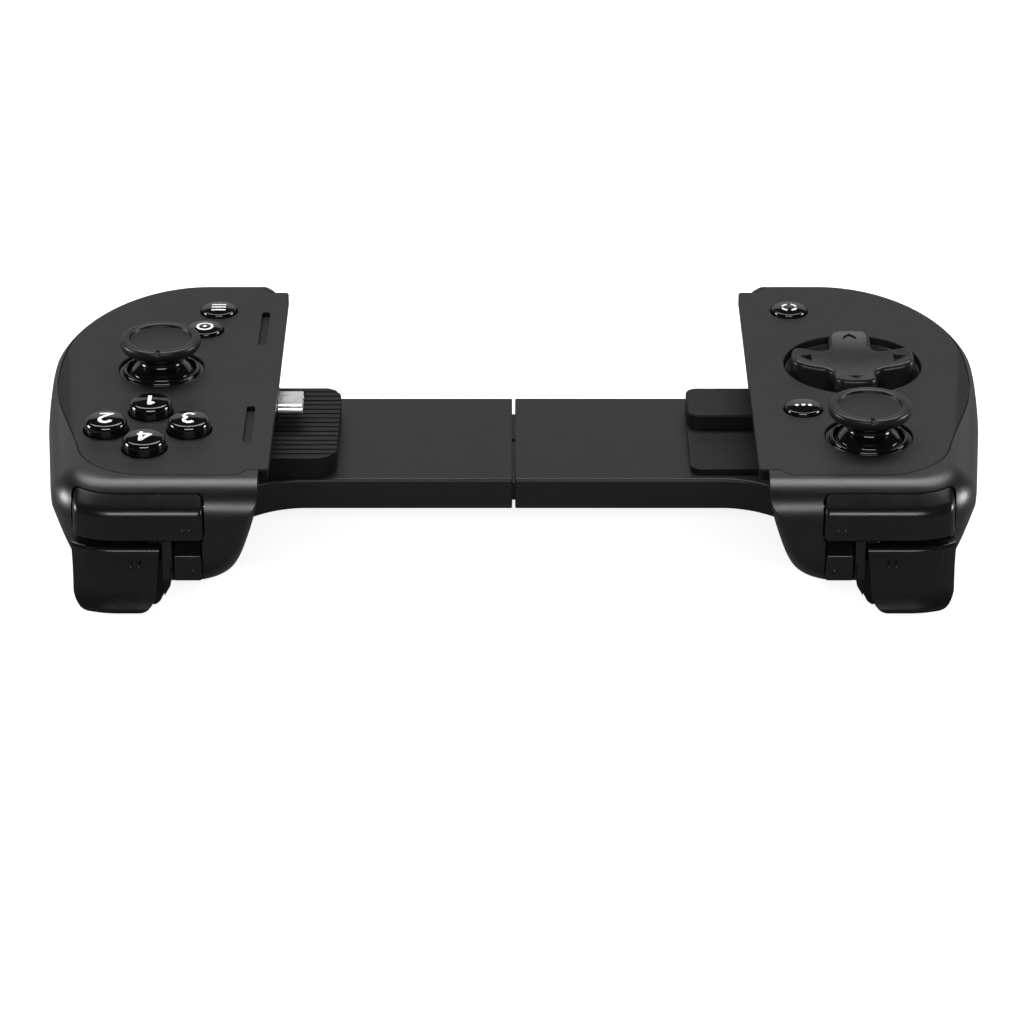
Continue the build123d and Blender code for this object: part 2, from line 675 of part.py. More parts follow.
def trigger_lobe():
    """Rounded knuckle of the housing behind and beside the trigger."""
    front = NEAR_Y + SHOULDER_CLEAR
    side = polygon([
        (front, -BUMPER_FLOOR),
        (front, -KEY_FLOOR),
        (front + LOBE_R, -LOBE_FLOOR),
        (LOBE_BACK, -LOBE_FLOOR),
        (LOBE_BACK, -BUMPER_FLOOR),
    ])
    side = fillet(side.vertices().filter_by(lambda v: v.X < 0 and v.Y < -BUMPER_FLOOR), LOBE_R)
    face = polygon([
        (TRIGGER_IN - CHEEK, -BUMPER_FLOOR),
        (TRIGGER_IN - CHEEK, -LOBE_SHOULDER),
        (TRIGGER_IN - CHEEK + LOBE_SLANT, -LOBE_FLOOR),
        (LOBE_OUT, -LOBE_FLOOR),
        (LOBE_OUT, -BUMPER_FLOOR),
    ])
    face = fillet(face.vertices().filter_by(lambda v: v.Y < -BUMPER_FLOOR), LOBE_SIDE_R)
    return along_x(side, TRIGGER_IN - CHEEK, LOBE_OUT) & along_y(face, NEAR_Y, LOBE_BACK)


def make_trigger_spring():
    """Torsion spring on the trigger's pin, drawn as the tube that its coil fills."""
    pin_y, pin_z = TRIGGER_PIN
    inner = TRIGGER_PIN_R + COIL_CLEAR
    ring = Pos(pin_y, pin_z) * (Circle(inner + COIL_T) - Circle(inner))
    return along_x(ring, TRIGGER_IN, TRIGGER_HUB_IN - COIL_CLEAR)


def screw_places(side):
    return RIGHT_SCREWS if side == "right" else LEFT_SCREWS


def stick_place(side):
    return RIGHT_STICK if side == "right" else LEFT_STICK


def small_places(side):
    return [MENU_AT, HOME_AT] if side == "right" else [CAPTURE_AT, DOTS_AT]


def face_places():
    centre_u, centre_y = FACE_CENTRE
    return [
        (centre_u, centre_y + FACE_SPREAD),
        (centre_u - FACE_SPREAD, centre_y),
        (centre_u + FACE_SPREAD, centre_y),
        (centre_u, centre_y - FACE_SPREAD),
    ]


def sleeve_outline():
    """Plan of a bridge half, flaring where it meets the pod."""
    start = SEAM_GAP / 2
    end = WALL_IN + SLEEVE_ROOT
    bend_u = WALL_IN - FLARE_START
    root_u = WALL_IN + FLARE_END
    pull = (root_u - bend_u) / 2
    ease = pull * FLARE_EASE_SHARE
    rise = FLARE * (1 - FLARE_EASE_SHARE)
    near = BRIDGE_NEAR
    far = BRIDGE_FAR
    edges = [
        Line((start, near), (bend_u, near)),
        Bezier((bend_u, near), (bend_u + pull, near), (root_u - ease, near - rise), (root_u, near - FLARE)),
        Line((root_u, near - FLARE), (end, near - FLARE)),
        Line((end, near - FLARE), (end, far + FLARE)),
        Line((end, far + FLARE), (root_u, far + FLARE)),
        Bezier((root_u, far + FLARE), (root_u - ease, far + rise), (bend_u + pull, far), (bend_u, far)),
        Line((bend_u, far), (start, far)),
        Line((start, far), (start, near)),
    ]
    return make_face(edges)


def tunnel_span():
    """Near and far sides of the tunnel through a bridge half."""
    return BRIDGE_NEAR + SLEEVE_WALL, BRIDGE_FAR - FAR_WALL


def rail_levels():
    """Bottom and top of the rail."""
    low = -BRIDGE_TOP - BRIDGE_T + COVER_T + SLIDE_GAP
    return low, -BRIDGE_TOP - SLEEVE_WALL - SLIDE_GAP


def spring_y(side):
    near, far = tunnel_span()
    return near + (far - near) * SPRING_Y_SHARES[side]


def make_sleeve():
    """Bridge half: a channel open below, which its cover closes."""
    low = -BRIDGE_TOP - BRIDGE_T
    sleeve = prism(sleeve_outline(), -BRIDGE_TOP, low)
    rims = sleeve.edges().filter_by(
        lambda e: abs(e.center().Z + BRIDGE_TOP) < FIT and SEAM_GAP < e.center().X < WALL_IN
    )
    sleeve = chamfer(rims, SLEEVE_EDGE_R / 2)
    near, far = tunnel_span()
    tunnel = block(-OVERRUN, WALL_IN + OVERRUN, near, far, low - OVERRUN, -BRIDGE_TOP - SLEEVE_WALL)
    return sleeve - tunnel


def make_sleeve_cover(side):
    """Plate that closes a bridge half from below, with the post that its spring pulls on."""
    near, far = tunnel_span()
    low = -BRIDGE_TOP - BRIDGE_T
    plate = block(SEAM_GAP / 2, WALL_IN + SLEEVE_ROOT, near, far, low, low + COVER_T)
    y = spring_y(side)
    end = WALL_IN + SLEEVE_ROOT
    post = block(end - SPRING_POST, end, y - SPRING_R, y + SPRING_R, low + COVER_T,
                 low + COVER_T + SLIDE_GAP + SPRING_GROOVE + 2 * SPRING_R)
    return plate + post


def make_rail():
    """Flat rail that both bridge halves slide on, with grooves for springs and cable."""
    near, far = tunnel_span()
    low, top = rail_levels()
    rail = block(-RAIL_HALF, RAIL_HALF, near + SLIDE_GAP, far - SLIDE_GAP, low, top)
    room = SPRING_R + SPRING_GROOVE
    for side, sign in (("left", 1), ("right", -1)):
        y = spring_y(side)
        start = SPRING_WEB / 2
        groove = block(start, RAIL_HALF + OVERRUN, y - room, y + room, low - OVERRUN, low + 2 * room)
        rail = rail - (groove if sign > 0 else mirror_x(groove))
    middle = (near + far) / 2
    half = CABLE_W / 2 + SPRING_GROOVE
    return rail - block(-RAIL_HALF - OVERRUN, RAIL_HALF + OVERRUN, middle - half, middle + half,
                        top - 2 * CABLE_T, top + OVERRUN)


def make_cable():
    near, far = tunnel_span()
    top = rail_levels()[1]
    middle = (near + far) / 2
    return block(-RAIL_HALF, RAIL_HALF, middle - CABLE_W / 2, middle + CABLE_W / 2,
                 top - 2 * CABLE_T, top - CABLE_T)


def make_spring(side):
    """Return spring of one bridge half, drawn as the tube that its coil fills."""
    level = rail_levels()[0] + SPRING_R + SPRING_GROOVE
    ring = Pos(spring_y(side), level) * (Circle(SPRING_R) - Circle(SPRING_BORE))
    return along_x(ring, SPRING_WEB / 2, WALL_IN + SLEEVE_ROOT - SPRING_POST)


def pad_outline(near, far, radius):
    """Plan of a docking pad, rounded at its free end."""
    pad = Pos((PAD_IN + WALL_IN) / 2, (near + far) / 2) * Rectangle(WALL_IN - PAD_IN, far - near)
    return fillet(pad.vertices().group_by(Axis.X)[0], radius)


def make_ribbed_pad():
    """Ribbed rubber block beside the phone plug."""
    pad = prism(pad_outline(PAD_NEAR, PAD_FAR, PAD_R), -BRIDGE_TOP + PAD_T, -BRIDGE_TOP)
    count = int((PAD_FAR - PAD_NEAR) / RIB_PITCH)
    for index in range(1, count + 1):
        y = PAD_NEAR + index * RIB_PITCH
        pad = pad - block(PAD_IN - OVERRUN, WALL_IN + OVERRUN, y - RIB_GROOVE / 2, y + RIB_GROOVE / 2,
                          -BRIDGE_TOP + PAD_T - RIB_GROOVE, OVERRUN)
    return pad


def make_stepped_pad():
    """Thin rubber pad with a raised block, under the free end of the phone."""
    pad = prism(pad_outline(LOW_PAD_NEAR, PAD_FAR, PAD_R / 2), -BRIDGE_TOP + LOW_PAD_T, -BRIDGE_TOP)
    raised = prism(pad_outline(BLOCK_NEAR, PAD_FAR, PAD_R / 2), -BRIDGE_TOP + PAD_T, -BRIDGE_TOP + LOW_PAD_T)
    top = raised.edges().group_by(Axis.Z)[-1]
    return pad + fillet(top, RIB_GROOVE)


def stadium(width, thickness):
    return Rectangle(width - thickness, thickness) + Pos((width - thickness) / 2, 0) * Circle(thickness / 2) \
        + Pos(-(width - thickness) / 2, 0) * Circle(thickness / 2)


def plug_form(width, thickness, start, end):
    return along_x(Pos(PLUG_Y, -PLUG_DROP) * stadium(width, thickness), start, end)


def plug_tip():
    return WALL_IN - PLUG_REACH


def plug_root():
    return WALL_IN + HOLDER_LEN


def make_plug():
    """Metal shell of the phone plug."""
    shell = plug_form(PLUG_W, PLUG_T, plug_tip(), plug_root())
    rim = shell.edges().group_by(Axis.X)[0]
    shell = fillet(rim, PLUG_LIP_R)
    return shell - plug_form(PLUG_W - 2 * PLUG_WALL, PLUG_T - 2 * PLUG_WALL, plug_tip(), plug_root())


def make_plug_insert():
    """Plastic contact carrier inside the plug: two thin tongues on a common root."""
    width = PLUG_W - 2 * PLUG_WALL
    thickness = PLUG_T - 2 * PLUG_WALL
    insert = plug_form(width, thickness, plug_tip() + PLUG_WALL * 2, plug_root())
    gap = block(plug_tip(), plug_tip() + PLUG_LEN - PLUG_WALL * 4, PLUG_Y - PLUG_W, PLUG_Y + PLUG_W,
                -PLUG_DROP - TONGUE_T / 2, -PLUG_DROP + TONGUE_T / 2)
    return insert - gap


def make_plug_holder():
    """Collar that carries the plug in the pod's inner wall."""
    start = WALL_IN - LIP + STEP_GAP
    collar = plug_form(PLUG_W + 2 * HOLDER_RIM, PLUG_T + 2 * HOLDER_RIM, start, plug_root())
    rim = collar.edges().group_by(Axis.X)[0]
    collar = fillet(rim, HOLDER_RIM / 2)
    return collar - plug_form(PLUG_W, PLUG_T, start - OVERRUN, plug_root() + OVERRUN)


def place_stick(at, piece):
    """Put a stick piece, drawn about its pivot, at its place in the pod."""
    return Pos(at[0], at[1], -STICK_PIVOT) * piece


def base_drop():
    return BOARD_TOP - STICK_PIVOT


def cross_bore(radius, length, axis):
    """Round bar through the pivot, along X or Y."""
    turn = (0, 90, 0) if axis == "x" else (90, 0, 0)
    return Rot(*turn) * Cylinder(radius, length)


def make_stick_base(at):
    """Square box on the board that carries the yoke's pins."""
    half = BASE_W / 2
    inner = half - BASE_WALL
    base = block(-half, half, -half, half, -base_drop(), BASE_RISE)
    base = base - block(-inner, inner, -inner, inner, -base_drop() + BASE_FLOOR, OVERRUN)
    return place_stick(at, base - cross_bore(PIN_R + FIT, 2 * BASE_W, "x"))


def make_stick_yoke(at):
    """Ring that tilts about X in the base and carries the gimbal."""
    ring = Box(YOKE_X, YOKE_Y, YOKE_T) - Box(YOKE_X - 2 * YOKE_BAR, YOKE_Y - 2 * YOKE_BAR, YOKE_T)
    reach = BASE_W - 2 * BASE_WALL + 2 * PIN_BITE
    pins = cross_bore(PIN_R, reach, "x") - Box(YOKE_X - YOKE_BAR, YOKE_Y, YOKE_T)
    return place_stick(at, ring + pins - cross_bore(PIN_R + FIT, YOKE_Y + OVERRUN, "y"))


def make_stick_gimbal(at):
    """Block that tilts about Y in the yoke and guides the stem."""
    body = Box(GIMBAL_W, GIMBAL_W, YOKE_T)
    pins = cross_bore(PIN_R, YOKE_Y - 2 * YOKE_BAR + 2 * PIN_BITE, "y")
    return place_stick(at, body + pins - Cylinder(STEM_FOOT_R + FIT, YOKE_T + OVERRUN))


def stem_shoulder():
    return YOKE_T / 2 + CLICK + FIT


def make_stick_stem(at):
    """Metal stem from the gimbal up into the cap."""
    foot = drum((0, 0), STEM_FOOT_R, stem_shoulder(), -YOKE_T / 2)
    shank = drum((0, 0), STEM_R, STICK_PIVOT + CAP_TOP - STEM_SEAT, stem_shoulder())
    return place_stick(at, foot + shank)


def make_dust_cap(at):
    """Domed skirt under the thumb cap that keeps the opening closed at every tilt."""
    inner = DUST_R - DUST_T
    sweep = radians(DUST_SWEEP)

    def rim(radius, angle):
        return (radius * sin(angle), radius * cos(angle))

    edges = [
        ThreePointArc(rim(DUST_R, 0), rim(DUST_R, sweep / 2), rim(DUST_R, sweep)),
        Line(rim(DUST_R, sweep), rim(inner, sweep)),
        ThreePointArc(rim(inner, sweep), rim(inner, sweep / 2), rim(inner, 0)),
        Line(rim(inner, 0), rim(DUST_R, 0)),
    ]
    skirt = revolve(Plane.XZ * make_face(edges), Axis.Z)
    return place_stick(at, skirt - Cylinder(STEM_R, 4 * DUST_R))


def make_stick_cap(at):
    """Thumb cap with a dished top, a groove round the dish and a notch in its rim."""
    foot = STICK_PIVOT + CAP_TOP - CAP_EDGE
    top = STICK_PIVOT + CAP_TOP
    neck = DUST_R + FIT
    edges = [
        Line((0, neck), (CAP_NECK_R, neck)),
        Bezier((CAP_NECK_R, neck), (CAP_NECK_R, foot - DUST_T), (CAP_R - CAP_EDGE, foot - DUST_T / 2),
               (CAP_R - CAP_EDGE_R, foot)),
        ThreePointArc((CAP_R - CAP_EDGE_R, foot), (CAP_R, (foot + top) / 2), (CAP_R - CAP_EDGE_R, top)),
        Line((CAP_R - CAP_EDGE_R, top), (DISH_R, top)),
        Bezier((DISH_R, top), (DISH_R * DISH_FLAT_SHARE, top - DISH_DEPTH), (0, top - DISH_DEPTH)),
        Line((0, top - DISH_DEPTH), (0, neck)),
    ]
    cap = revolve(Plane.XZ * make_face(edges), Axis.Z)
    groove = Cylinder(RING_R + RING_W, OVERRUN) - Cylinder(RING_R, OVERRUN)
    cap = cap - Pos(0, 0, top - RING_DEPTH + OVERRUN / 2) * groove
    cap = cap - block(-TICK_W / 2, TICK_W / 2, -CAP_R - OVERRUN, -DISH_R, top - RING_W / 2, top + OVERRUN)
    cap = cap - drum((0, 0), STEM_R, top - STEM_SEAT, 0)
    return place_stick(at, cap)


def make_bezel(at):
    """Ring in the face plate around the stick, hollowed to clear the dust cap."""
    top = STICK_PIVOT - BEZEL_SINK
    under = STICK_PIVOT - PLATE_T
    ring = drum((0, 0), STICK_HOLE_R - BEZEL_CLEAR, top, under - BEZEL_FLANGE_T)
    ring = ring + drum((0, 0), STICK_HOLE_R + BEZEL_FLANGE, under, under - BEZEL_FLANGE_T)
    ring = ring - drum((0, 0), BEZEL_IN_R, top + OVERRUN, under - OVERRUN)
    lip = ring.edges().group_by(Axis.Z)[-1]
    ring = chamfer(lip, BEZEL_SINK)
    return place_stick(at, ring - Sphere(DUST_R + DUST_CLEAR))


def push_button(at, radius, rise, dome):
    """Button with a rounded top, a flange under the face plate and a plunger."""
    shoulder = rise - dome
    foot = -PLATE_T - FLANGE_GAP
    bend = (radius**2 + dome**2) / (2 * dome)
    ball = Pos(0, 0, rise - bend) * Sphere(bend)
    keep = ball + drum((0, 0), radius + FIT, shoulder, foot - FIT)
    cap = drum((0, 0), radius, rise, foot) & keep
    rim = cap.edges().filter_by(lambda e: abs(e.center().Z - shoulder) < FIT)
    cap = fillet(rim, BUTTON_EDGE_R) if rim else cap
    flange_foot = foot - FLANGE_T
    flange = drum((0, 0), radius + FLANGE_W, foot, flange_foot)
    plunger = drum((0, 0), PLUNGER_R, flange_foot, -PLUNGER_DROP)
    return Pos(at[0], at[1], 0) * (cap + flange + plunger)


def make_face_button(at):
    return push_button(at, BUTTON_R, BUTTON_RISE, BUTTON_DOME)


def make_small_button(at):
    return push_button(at, SMALL_R, SMALL_RISE, SMALL_DOME)


def cross_plan():
    """Plan of the direction pad: four arms with round tips, inside a circle."""
    bars = Rectangle(2 * CROSS_R, CROSS_ARM) + Rectangle(CROSS_ARM, 2 * CROSS_R)
    crooks = bars.vertices().filter_by(lambda v: hypot(v.X, v.Y) < CROSS_ARM)
    bars = fillet(crooks, CROSS_CROOK_R) & Circle(CROSS_R)
    tips = bars.vertices().filter_by(lambda v: hypot(v.X, v.Y) > CROSS_R - FIT)
    return fillet(tips, CROSS_TIP_R)


def make_dpad():
    """Direction pad: a cross on a round carrier that rocks on a ball."""
    cross = prism(cross_plan(), CROSS_RISE, -DPAD_DROP)
    cross = fillet(cross.edges().group_by(Axis.Z)[-1], CROSS_EDGE_R)
    dish = Pos(0, 0, CROSS_RISE - CROSS_DISH + CROSS_DISH_R) * Sphere(CROSS_DISH_R)
    cross = cross - dish
    carrier = drum((0, 0), DPAD_FLANGE_R, -DPAD_DROP, -DPAD_DROP - DPAD_FLANGE_T)
    socket = Pos(0, 0, -DPAD_PIVOT) * Sphere(BALL_R + FIT)
    return Pos(DPAD_AT[0], DPAD_AT[1], 0) * (cross + carrier - socket)


def make_dpad_ball():
    """Ball that the direction pad rocks on."""
    return Pos(DPAD_AT[0], DPAD_AT[1], -DPAD_PIVOT) * Sphere(BALL_R)


def make_dpad_post():
    """Post on the board with a cup for the ball."""
    post = drum((0, 0), BALL_R, -DPAD_PIVOT - BALL_R / 2, -BOARD_TOP)
    cup = Pos(0, 0, -DPAD_PIVOT) * Sphere(BALL_R + FIT)
    return Pos(DPAD_AT[0], DPAD_AT[1], 0) * (post - cup)


def cavity_form(side, gap):
    """The room inside a pod under its face plate, drawn in by a gap."""
    room = block(WALL_IN + WALL + gap, POD_OUT, WALL + LEDGE + gap, FAR_Y, -BODY_DEPTH, -PLATE_T)
    return prism(plate_outline(-LEDGE), -PLATE_T, -BODY_DEPTH) & grip_form(WALL + gap) & room


def make_board(side):
    board = cavity_form(side, BOARD_GAP) & block(0, POD_OUT, 0, FAR_Y, -BOARD_TOP - BOARD_T, -BOARD_TOP)
    for place in screw_places(side):
        board = board - drum(place, SCREW_R + SCREW_CLEAR, OVERRUN, -BODY_DEPTH)
    return board


def dome_top(travel):
    return -PLUNGER_DROP - travel - STEP_GAP


def make_mat(places, travel):
    """Rubber mat on the board with a dome under each plunger."""
    floor = -BOARD_TOP + MAT_T
    mat = Part()
    for place in places:
        mat = mat + drum(place, DOME_R + MAT_RIM, floor, -BOARD_TOP)
        height = dome_top(travel) - floor
        mat = mat + Pos(place[0], place[1], floor + height / 2) * Cone(DOME_R, DOME_TOP_R, height)
    for first, second in zip(places, places[1:] + places[:1]):
        across = hypot(second[0] - first[0], second[1] - first[1])
        turn = degrees(atan2(second[1] - first[1], second[0] - first[0]))
        middle = ((first[0] + second[0]) / 2, (first[1] + second[1]) / 2)
        strip = Rot(0, 0, turn) * Box(across, DOME_R, MAT_T)
        mat = mat + Pos(middle[0], middle[1], floor - MAT_T / 2) * strip
    return mat


def make_face_mat():
    """Domes of the four face buttons, joined to the home button's dome."""
    far, inner, outer, near = face_places()
    ring = make_mat([far, inner, near, outer], BUTTON_TRAVEL)
    floor = -BOARD_TOP + MAT_T
    lane = plug_root() + BOARD_GAP
    strip = block(lane, lane + MAT_RIM, inner[1], HOME_AT[1], -BOARD_TOP, floor)
    inner_tie = block(lane, inner[0], inner[1], inner[1] + DOME_R, -BOARD_TOP, floor)
    home_tie = block(lane, HOME_AT[0], HOME_AT[1] - DOME_R, HOME_AT[1], -BOARD_TOP, floor)
    return ring + strip + inner_tie + home_tie


def make_screws(side):
    """Screws from the back of the grip up into the face plate's bosses."""
    seat = screw_seat()
    screws = []
    for place in screw_places(side):
        shank = drum(place, SCREW_R, -BOARD_TOP + SCREW_BITE, seat)
        head = drum(place, SCREW_HEAD_R, seat, seat - SCREW_HEAD_T)
        socket = Pos(place[0], place[1], seat - SCREW_HEAD_T) * Box(SCREW_R * 2, SCREW_R / 2, SCREW_HEAD_T)
        screws.append(shank + head - socket)
    return Compound(children=screws)


def screw_seat():
    return -BOARD_TOP - BOARD_T - WALL


def control_holes(side):
    """Openings in the face plate for the stick, the buttons and the direction pad."""
    holes = drum(stick_place(side), STICK_HOLE_R, OVERRUN, -OVERRUN)
    for place in small_places(side):
        holes = holes + drum(place, SMALL_R + BUTTON_CLEAR, OVERRUN, -OVERRUN)
    if side == "right":
        for place in face_places():
            holes = holes + drum(place, BUTTON_R + BUTTON_CLEAR, OVERRUN, -OVERRUN)
        for place in SLOTS:
            slot = Pos(place[0], place[1]) * Rot(0, 0, 90) * SlotOverall(SLOT_LEN, SLOT_W)
            holes = holes + prism(slot, OVERRUN, -SLOT_DEPTH)
    else:
        holes = holes + drum(DPAD_AT, DPAD_HOLE_R, OVERRUN, -OVERRUN)
    return holes


def make_plate(side):
    plate = prism(plate_outline(0), 0, -PLATE_T) & crown(GAP_HALF - OVERRUN, OVERRUN)
    plate = plate - control_holes(side)
    lips = plate.edges().filter_by(GeomType.CIRCLE).filter_by(
        lambda e: abs(e.center().Z) < FIT and e.radius > SMALL_R
    )
    plate = chamfer(lips, SEAM)
    for place in screw_places(side):
        plate = plate + drum(place, BOSS_R, -PLATE_T, -BOARD_TOP)
        plate = plate - drum(place, SCREW_R, -BOARD_TOP + SCREW_BITE, -BOARD_TOP)
    return plate


def make_housing(side):
    """Rear housing of a pod: grip, shoulder and inner wall, with every pocket cut."""
    body = crown(WALL_IN - OVERRUN, BODY_DEPTH + OVERRUN)
    body = body & grip_form(0)
    body = body + trigger_lobe()
    body = body - cavity_form(side, 0)
    seat = screw_seat()
    for place in screw_places(side):
        post = drum(place, SCREW_HEAD_R + WALL, -BOARD_TOP - BOARD_T, -BODY_DEPTH) & grip_form(WALL / 2)
        body = body + post
    for place in screw_places(side):
        body = body - drum(place, SCREW_R + SCREW_CLEAR, OVERRUN, -BODY_DEPTH)
        body = body - drum(place, SCREW_HEAD_R + SCREW_CLEAR, seat, -BODY_DEPTH - OVERRUN)
    body = body - prism(plate_outline(SEAM), OVERRUN, -PLATE_T)
    body = body - bumper_pocket() - trigger_pocket() - key_pocket()
    body = body - make_trigger_pin()
    body = body - prism(sleeve_outline(), -BRIDGE_TOP, -BRIDGE_TOP - BRIDGE_T)
    if side == "right":
        body = body - plug_form(PLUG_W + 2 * HOLDER_RIM, PLUG_T + 2 * HOLDER_RIM, 0, plug_root())
    return body


def build_pod(side):
    """Every piece of one pod, by name, drawn on the +X side."""
    at = stick_place(side)
    pieces = {
        "rear_housing": make_housing(side),
        "face_plate": make_plate(side),
        "bridge_sleeve": make_sleeve(),
        "sleeve_cover": make_sleeve_cover(side),
        "return_spring": make_spring(side),
        "bumper": make_bumper(),
        "bumper_pin": make_bumper_pin(),
        "trigger": make_trigger(),
        "trigger_pin": make_trigger_pin(),
        "trigger_spring": make_trigger_spring(),
        "shoulder_key": make_key(),
        "stick_base": make_stick_base(at),
        "stick_yoke": make_stick_yoke(at),
        "stick_gimbal": make_stick_gimbal(at),
        "stick_stem": make_stick_stem(at),
        "stick_dust_cap": make_dust_cap(at),
        "stick_cap": make_stick_cap(at),
        "stick_bezel": make_bezel(at),
        "board": make_board(side),
        "screws": make_screws(side),
        "button_mat": make_mat(small_places(side), SMALL_TRAVEL),
    }
    if side == "right":
        names = ("face_button_far", "face_button_inner", "face_button_outer", "face_button_near")
        for name, place in zip(names, face_places()):
            pieces[name] = make_face_button(place)
        pieces["button_mat"] = pieces["button_mat"] + make_face_mat()
        pieces["menu_button"] = make_small_button(MENU_AT)
        pieces["home_button"] = make_small_button(HOME_AT)
        pieces["phone_pad"] = make_ribbed_pad()
        pieces["plug_shell"] = make_plug()
        pieces["plug_contacts"] = make_plug_insert()
        pieces["plug_collar"] = make_plug_holder()
    else:
        pieces["capture_button"] = make_small_button(CAPTURE_AT)
        pieces["options_button"] = make_small_button(DOTS_AT)
        pieces["dpad"] = make_dpad()
        pieces["dpad_ball"] = make_dpad_ball()
        pieces["dpad_post"] = make_dpad_post()
        pieces["phone_pad"] = make_stepped_pad()
    return pieces


if __name__ == "__main__":
    shift = centre_shift()
    save("inner_rail", make_rail(), shift)
    save("ribbon_cable", make_cable(), shift)
    for side in ("left", "right"):
        for name, piece in build_pod(side).items():
            save(f"{side}_{name}", piece if side == "left" else mirror_x(piece), shift)
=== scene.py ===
# %% [markdown]
# # A telescopic game controller, dressed for its picture
#
# The controller's solids come ready-made from the CAD step. Each has its place and joint. This
# lesson gives them a camera, light and finishes, and adds the fine pieces that a moulder or printer
# adds last: glossy button caps, thumb rubber, printed marks. Lengths below are millimetres, turned
# into Blender's metres in one place.

# %% Load the model
import json
from math import radians

import bmesh
import bpy
import numpy as np
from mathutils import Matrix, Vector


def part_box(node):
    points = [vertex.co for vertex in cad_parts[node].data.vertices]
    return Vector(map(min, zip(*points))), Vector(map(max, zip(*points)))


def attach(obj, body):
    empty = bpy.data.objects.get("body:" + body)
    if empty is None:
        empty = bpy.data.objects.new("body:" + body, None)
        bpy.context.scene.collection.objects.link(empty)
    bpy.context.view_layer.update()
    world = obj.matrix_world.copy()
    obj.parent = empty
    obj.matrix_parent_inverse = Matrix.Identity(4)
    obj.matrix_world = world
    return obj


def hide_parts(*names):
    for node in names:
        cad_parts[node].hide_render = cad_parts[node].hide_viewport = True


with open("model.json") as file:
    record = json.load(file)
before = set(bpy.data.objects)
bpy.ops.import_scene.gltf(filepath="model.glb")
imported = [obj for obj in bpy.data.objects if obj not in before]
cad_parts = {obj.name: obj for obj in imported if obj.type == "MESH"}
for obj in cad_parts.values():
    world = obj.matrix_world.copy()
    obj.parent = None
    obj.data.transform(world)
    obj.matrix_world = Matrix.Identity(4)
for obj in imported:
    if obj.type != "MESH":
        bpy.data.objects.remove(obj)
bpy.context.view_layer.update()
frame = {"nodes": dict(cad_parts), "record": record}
nodes = frame["nodes"]
record = frame["record"]
MM = 0.001
FACE_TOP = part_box("left_face_plate")[1].z / MM

# %% [markdown]
# ## The camera
#
# A product picture of a wide, low thing is taken from far away with a long lens, so that both
# grips look alike. The view is 27 degrees down. The lens, place and tilt below were fitted to known
# sizes on the object. A camera looks along its own -Z, so a turn of 63 degrees about X tips it to look
# forward and 27 degrees down.

# %% Camera
VIEW_DOWN = 27.0
LENS_MM = 144.42
CAMERA_AT = (-0.34, -759.94, 388.76)

camera = bpy.data.objects.new("camera", bpy.data.cameras.new("camera"))
camera.data.sensor_width = 36
camera.data.lens = LENS_MM
camera.location = [value * MM for value in CAMERA_AT]
camera.rotation_euler = (radians(90 - VIEW_DOWN), 0, 0)
bpy.context.scene.collection.objects.link(camera)
bpy.context.scene.camera = camera
bpy.context.scene.view_settings.view_transform = "Standard"
print("camera", [round(value, 4) for value in camera.location])

# %% [markdown]
# ## Shader sums written as sums
#
# A material is a web of nodes. Written out link by link it hides its own recipe, so a small class
# wraps one output socket and lets Python's operators add the Math nodes: `1 - mask * 0.3` builds
# two of them. Every other node comes from one method: its settings first, because they may change its
# sockets, and then the values or links.

# %% Socket sums
class Wire:
    """One output socket in a tree of nodes, usable in sums. Without a socket it only starts a tree."""

    def __init__(self, tree, socket=None):
        self.tree = tree
        self.socket = socket

    def node(self, kind, settings, sockets, output=0):
        """Adds a node to the tree, its settings first, and returns one of its outputs."""
        made = self.tree.nodes.new("ShaderNode" + kind)
        for key, value in settings.items():
            setattr(made, key, value)
        for key, value in sockets.items():
            if isinstance(value, Wire):
                self.tree.links.new(value.socket, made.inputs[key])
            else:
                made.inputs[key].default_value = value
        return Wire(self.tree, made.outputs[output])

    def sum(self, operation, first, second):
        """A Math node of two values, of which one may be a plain number."""
        return self.node("Math", {"operation": operation}, {0: first, 1: second})

    def __add__(self, other):
        return self.sum("ADD", self, other)

    def __radd__(self, other):
        return self.sum("ADD", other, self)

    def __sub__(self, other):
        return self.sum("SUBTRACT", self, other)

    def __rsub__(self, other):
        return self.sum("SUBTRACT", other, self)

    def __mul__(self, other):
        return self.sum("MULTIPLY", self, other)

    def __rmul__(self, other):
        return self.sum("MULTIPLY", other, self)

    def least(self, other):
        return self.sum("MINIMUM", self, other)

    def step(self, low, high):
        """0 below low, 1 above high and a smooth rise between."""
        settings = {"interpolation_type": "SMOOTHSTEP"}
        return self.node("MapRange", settings, {"Value": self, "From Min": low, "From Max": high})


print("sums of sockets: + - * with their reflected forms, least and step")

# %% [markdown]
# ## Studio floor and white background
#
# The picture's background is plain white. The floor is pale paper. Light Path tells a material
# which kind of ray has arrived: a ray straight from the camera sees the paper glow, so that it comes
# out white, while a ray mirrored by the black plastic finds a darker paper, as if a black cloth lay in
# front of the object. Photographers use such cloths to keep the fronts of black things black. The world
# does the same for what lies past the floor.

# %% Floor and world
FLOOR_HALF = 2.0
FLOOR_GREY = 0.50
FLOOR_IN_GLOSS = 0.18
FLOOR_GLOW = 0.85
WORLD_FILL = 0.16
GLOSS_FILL = 0.03


def grey(value):
    """A colour without hue, as Blender's colour sockets take it."""
    return (value, value, value, 1)


def blend(mask, low, high):
    """From the low colour to the high one as the mask goes from 0 to 1."""
    return mask.node("Mix", {"data_type": "RGBA"}, {0: mask, 6: low, 7: high}, 2)


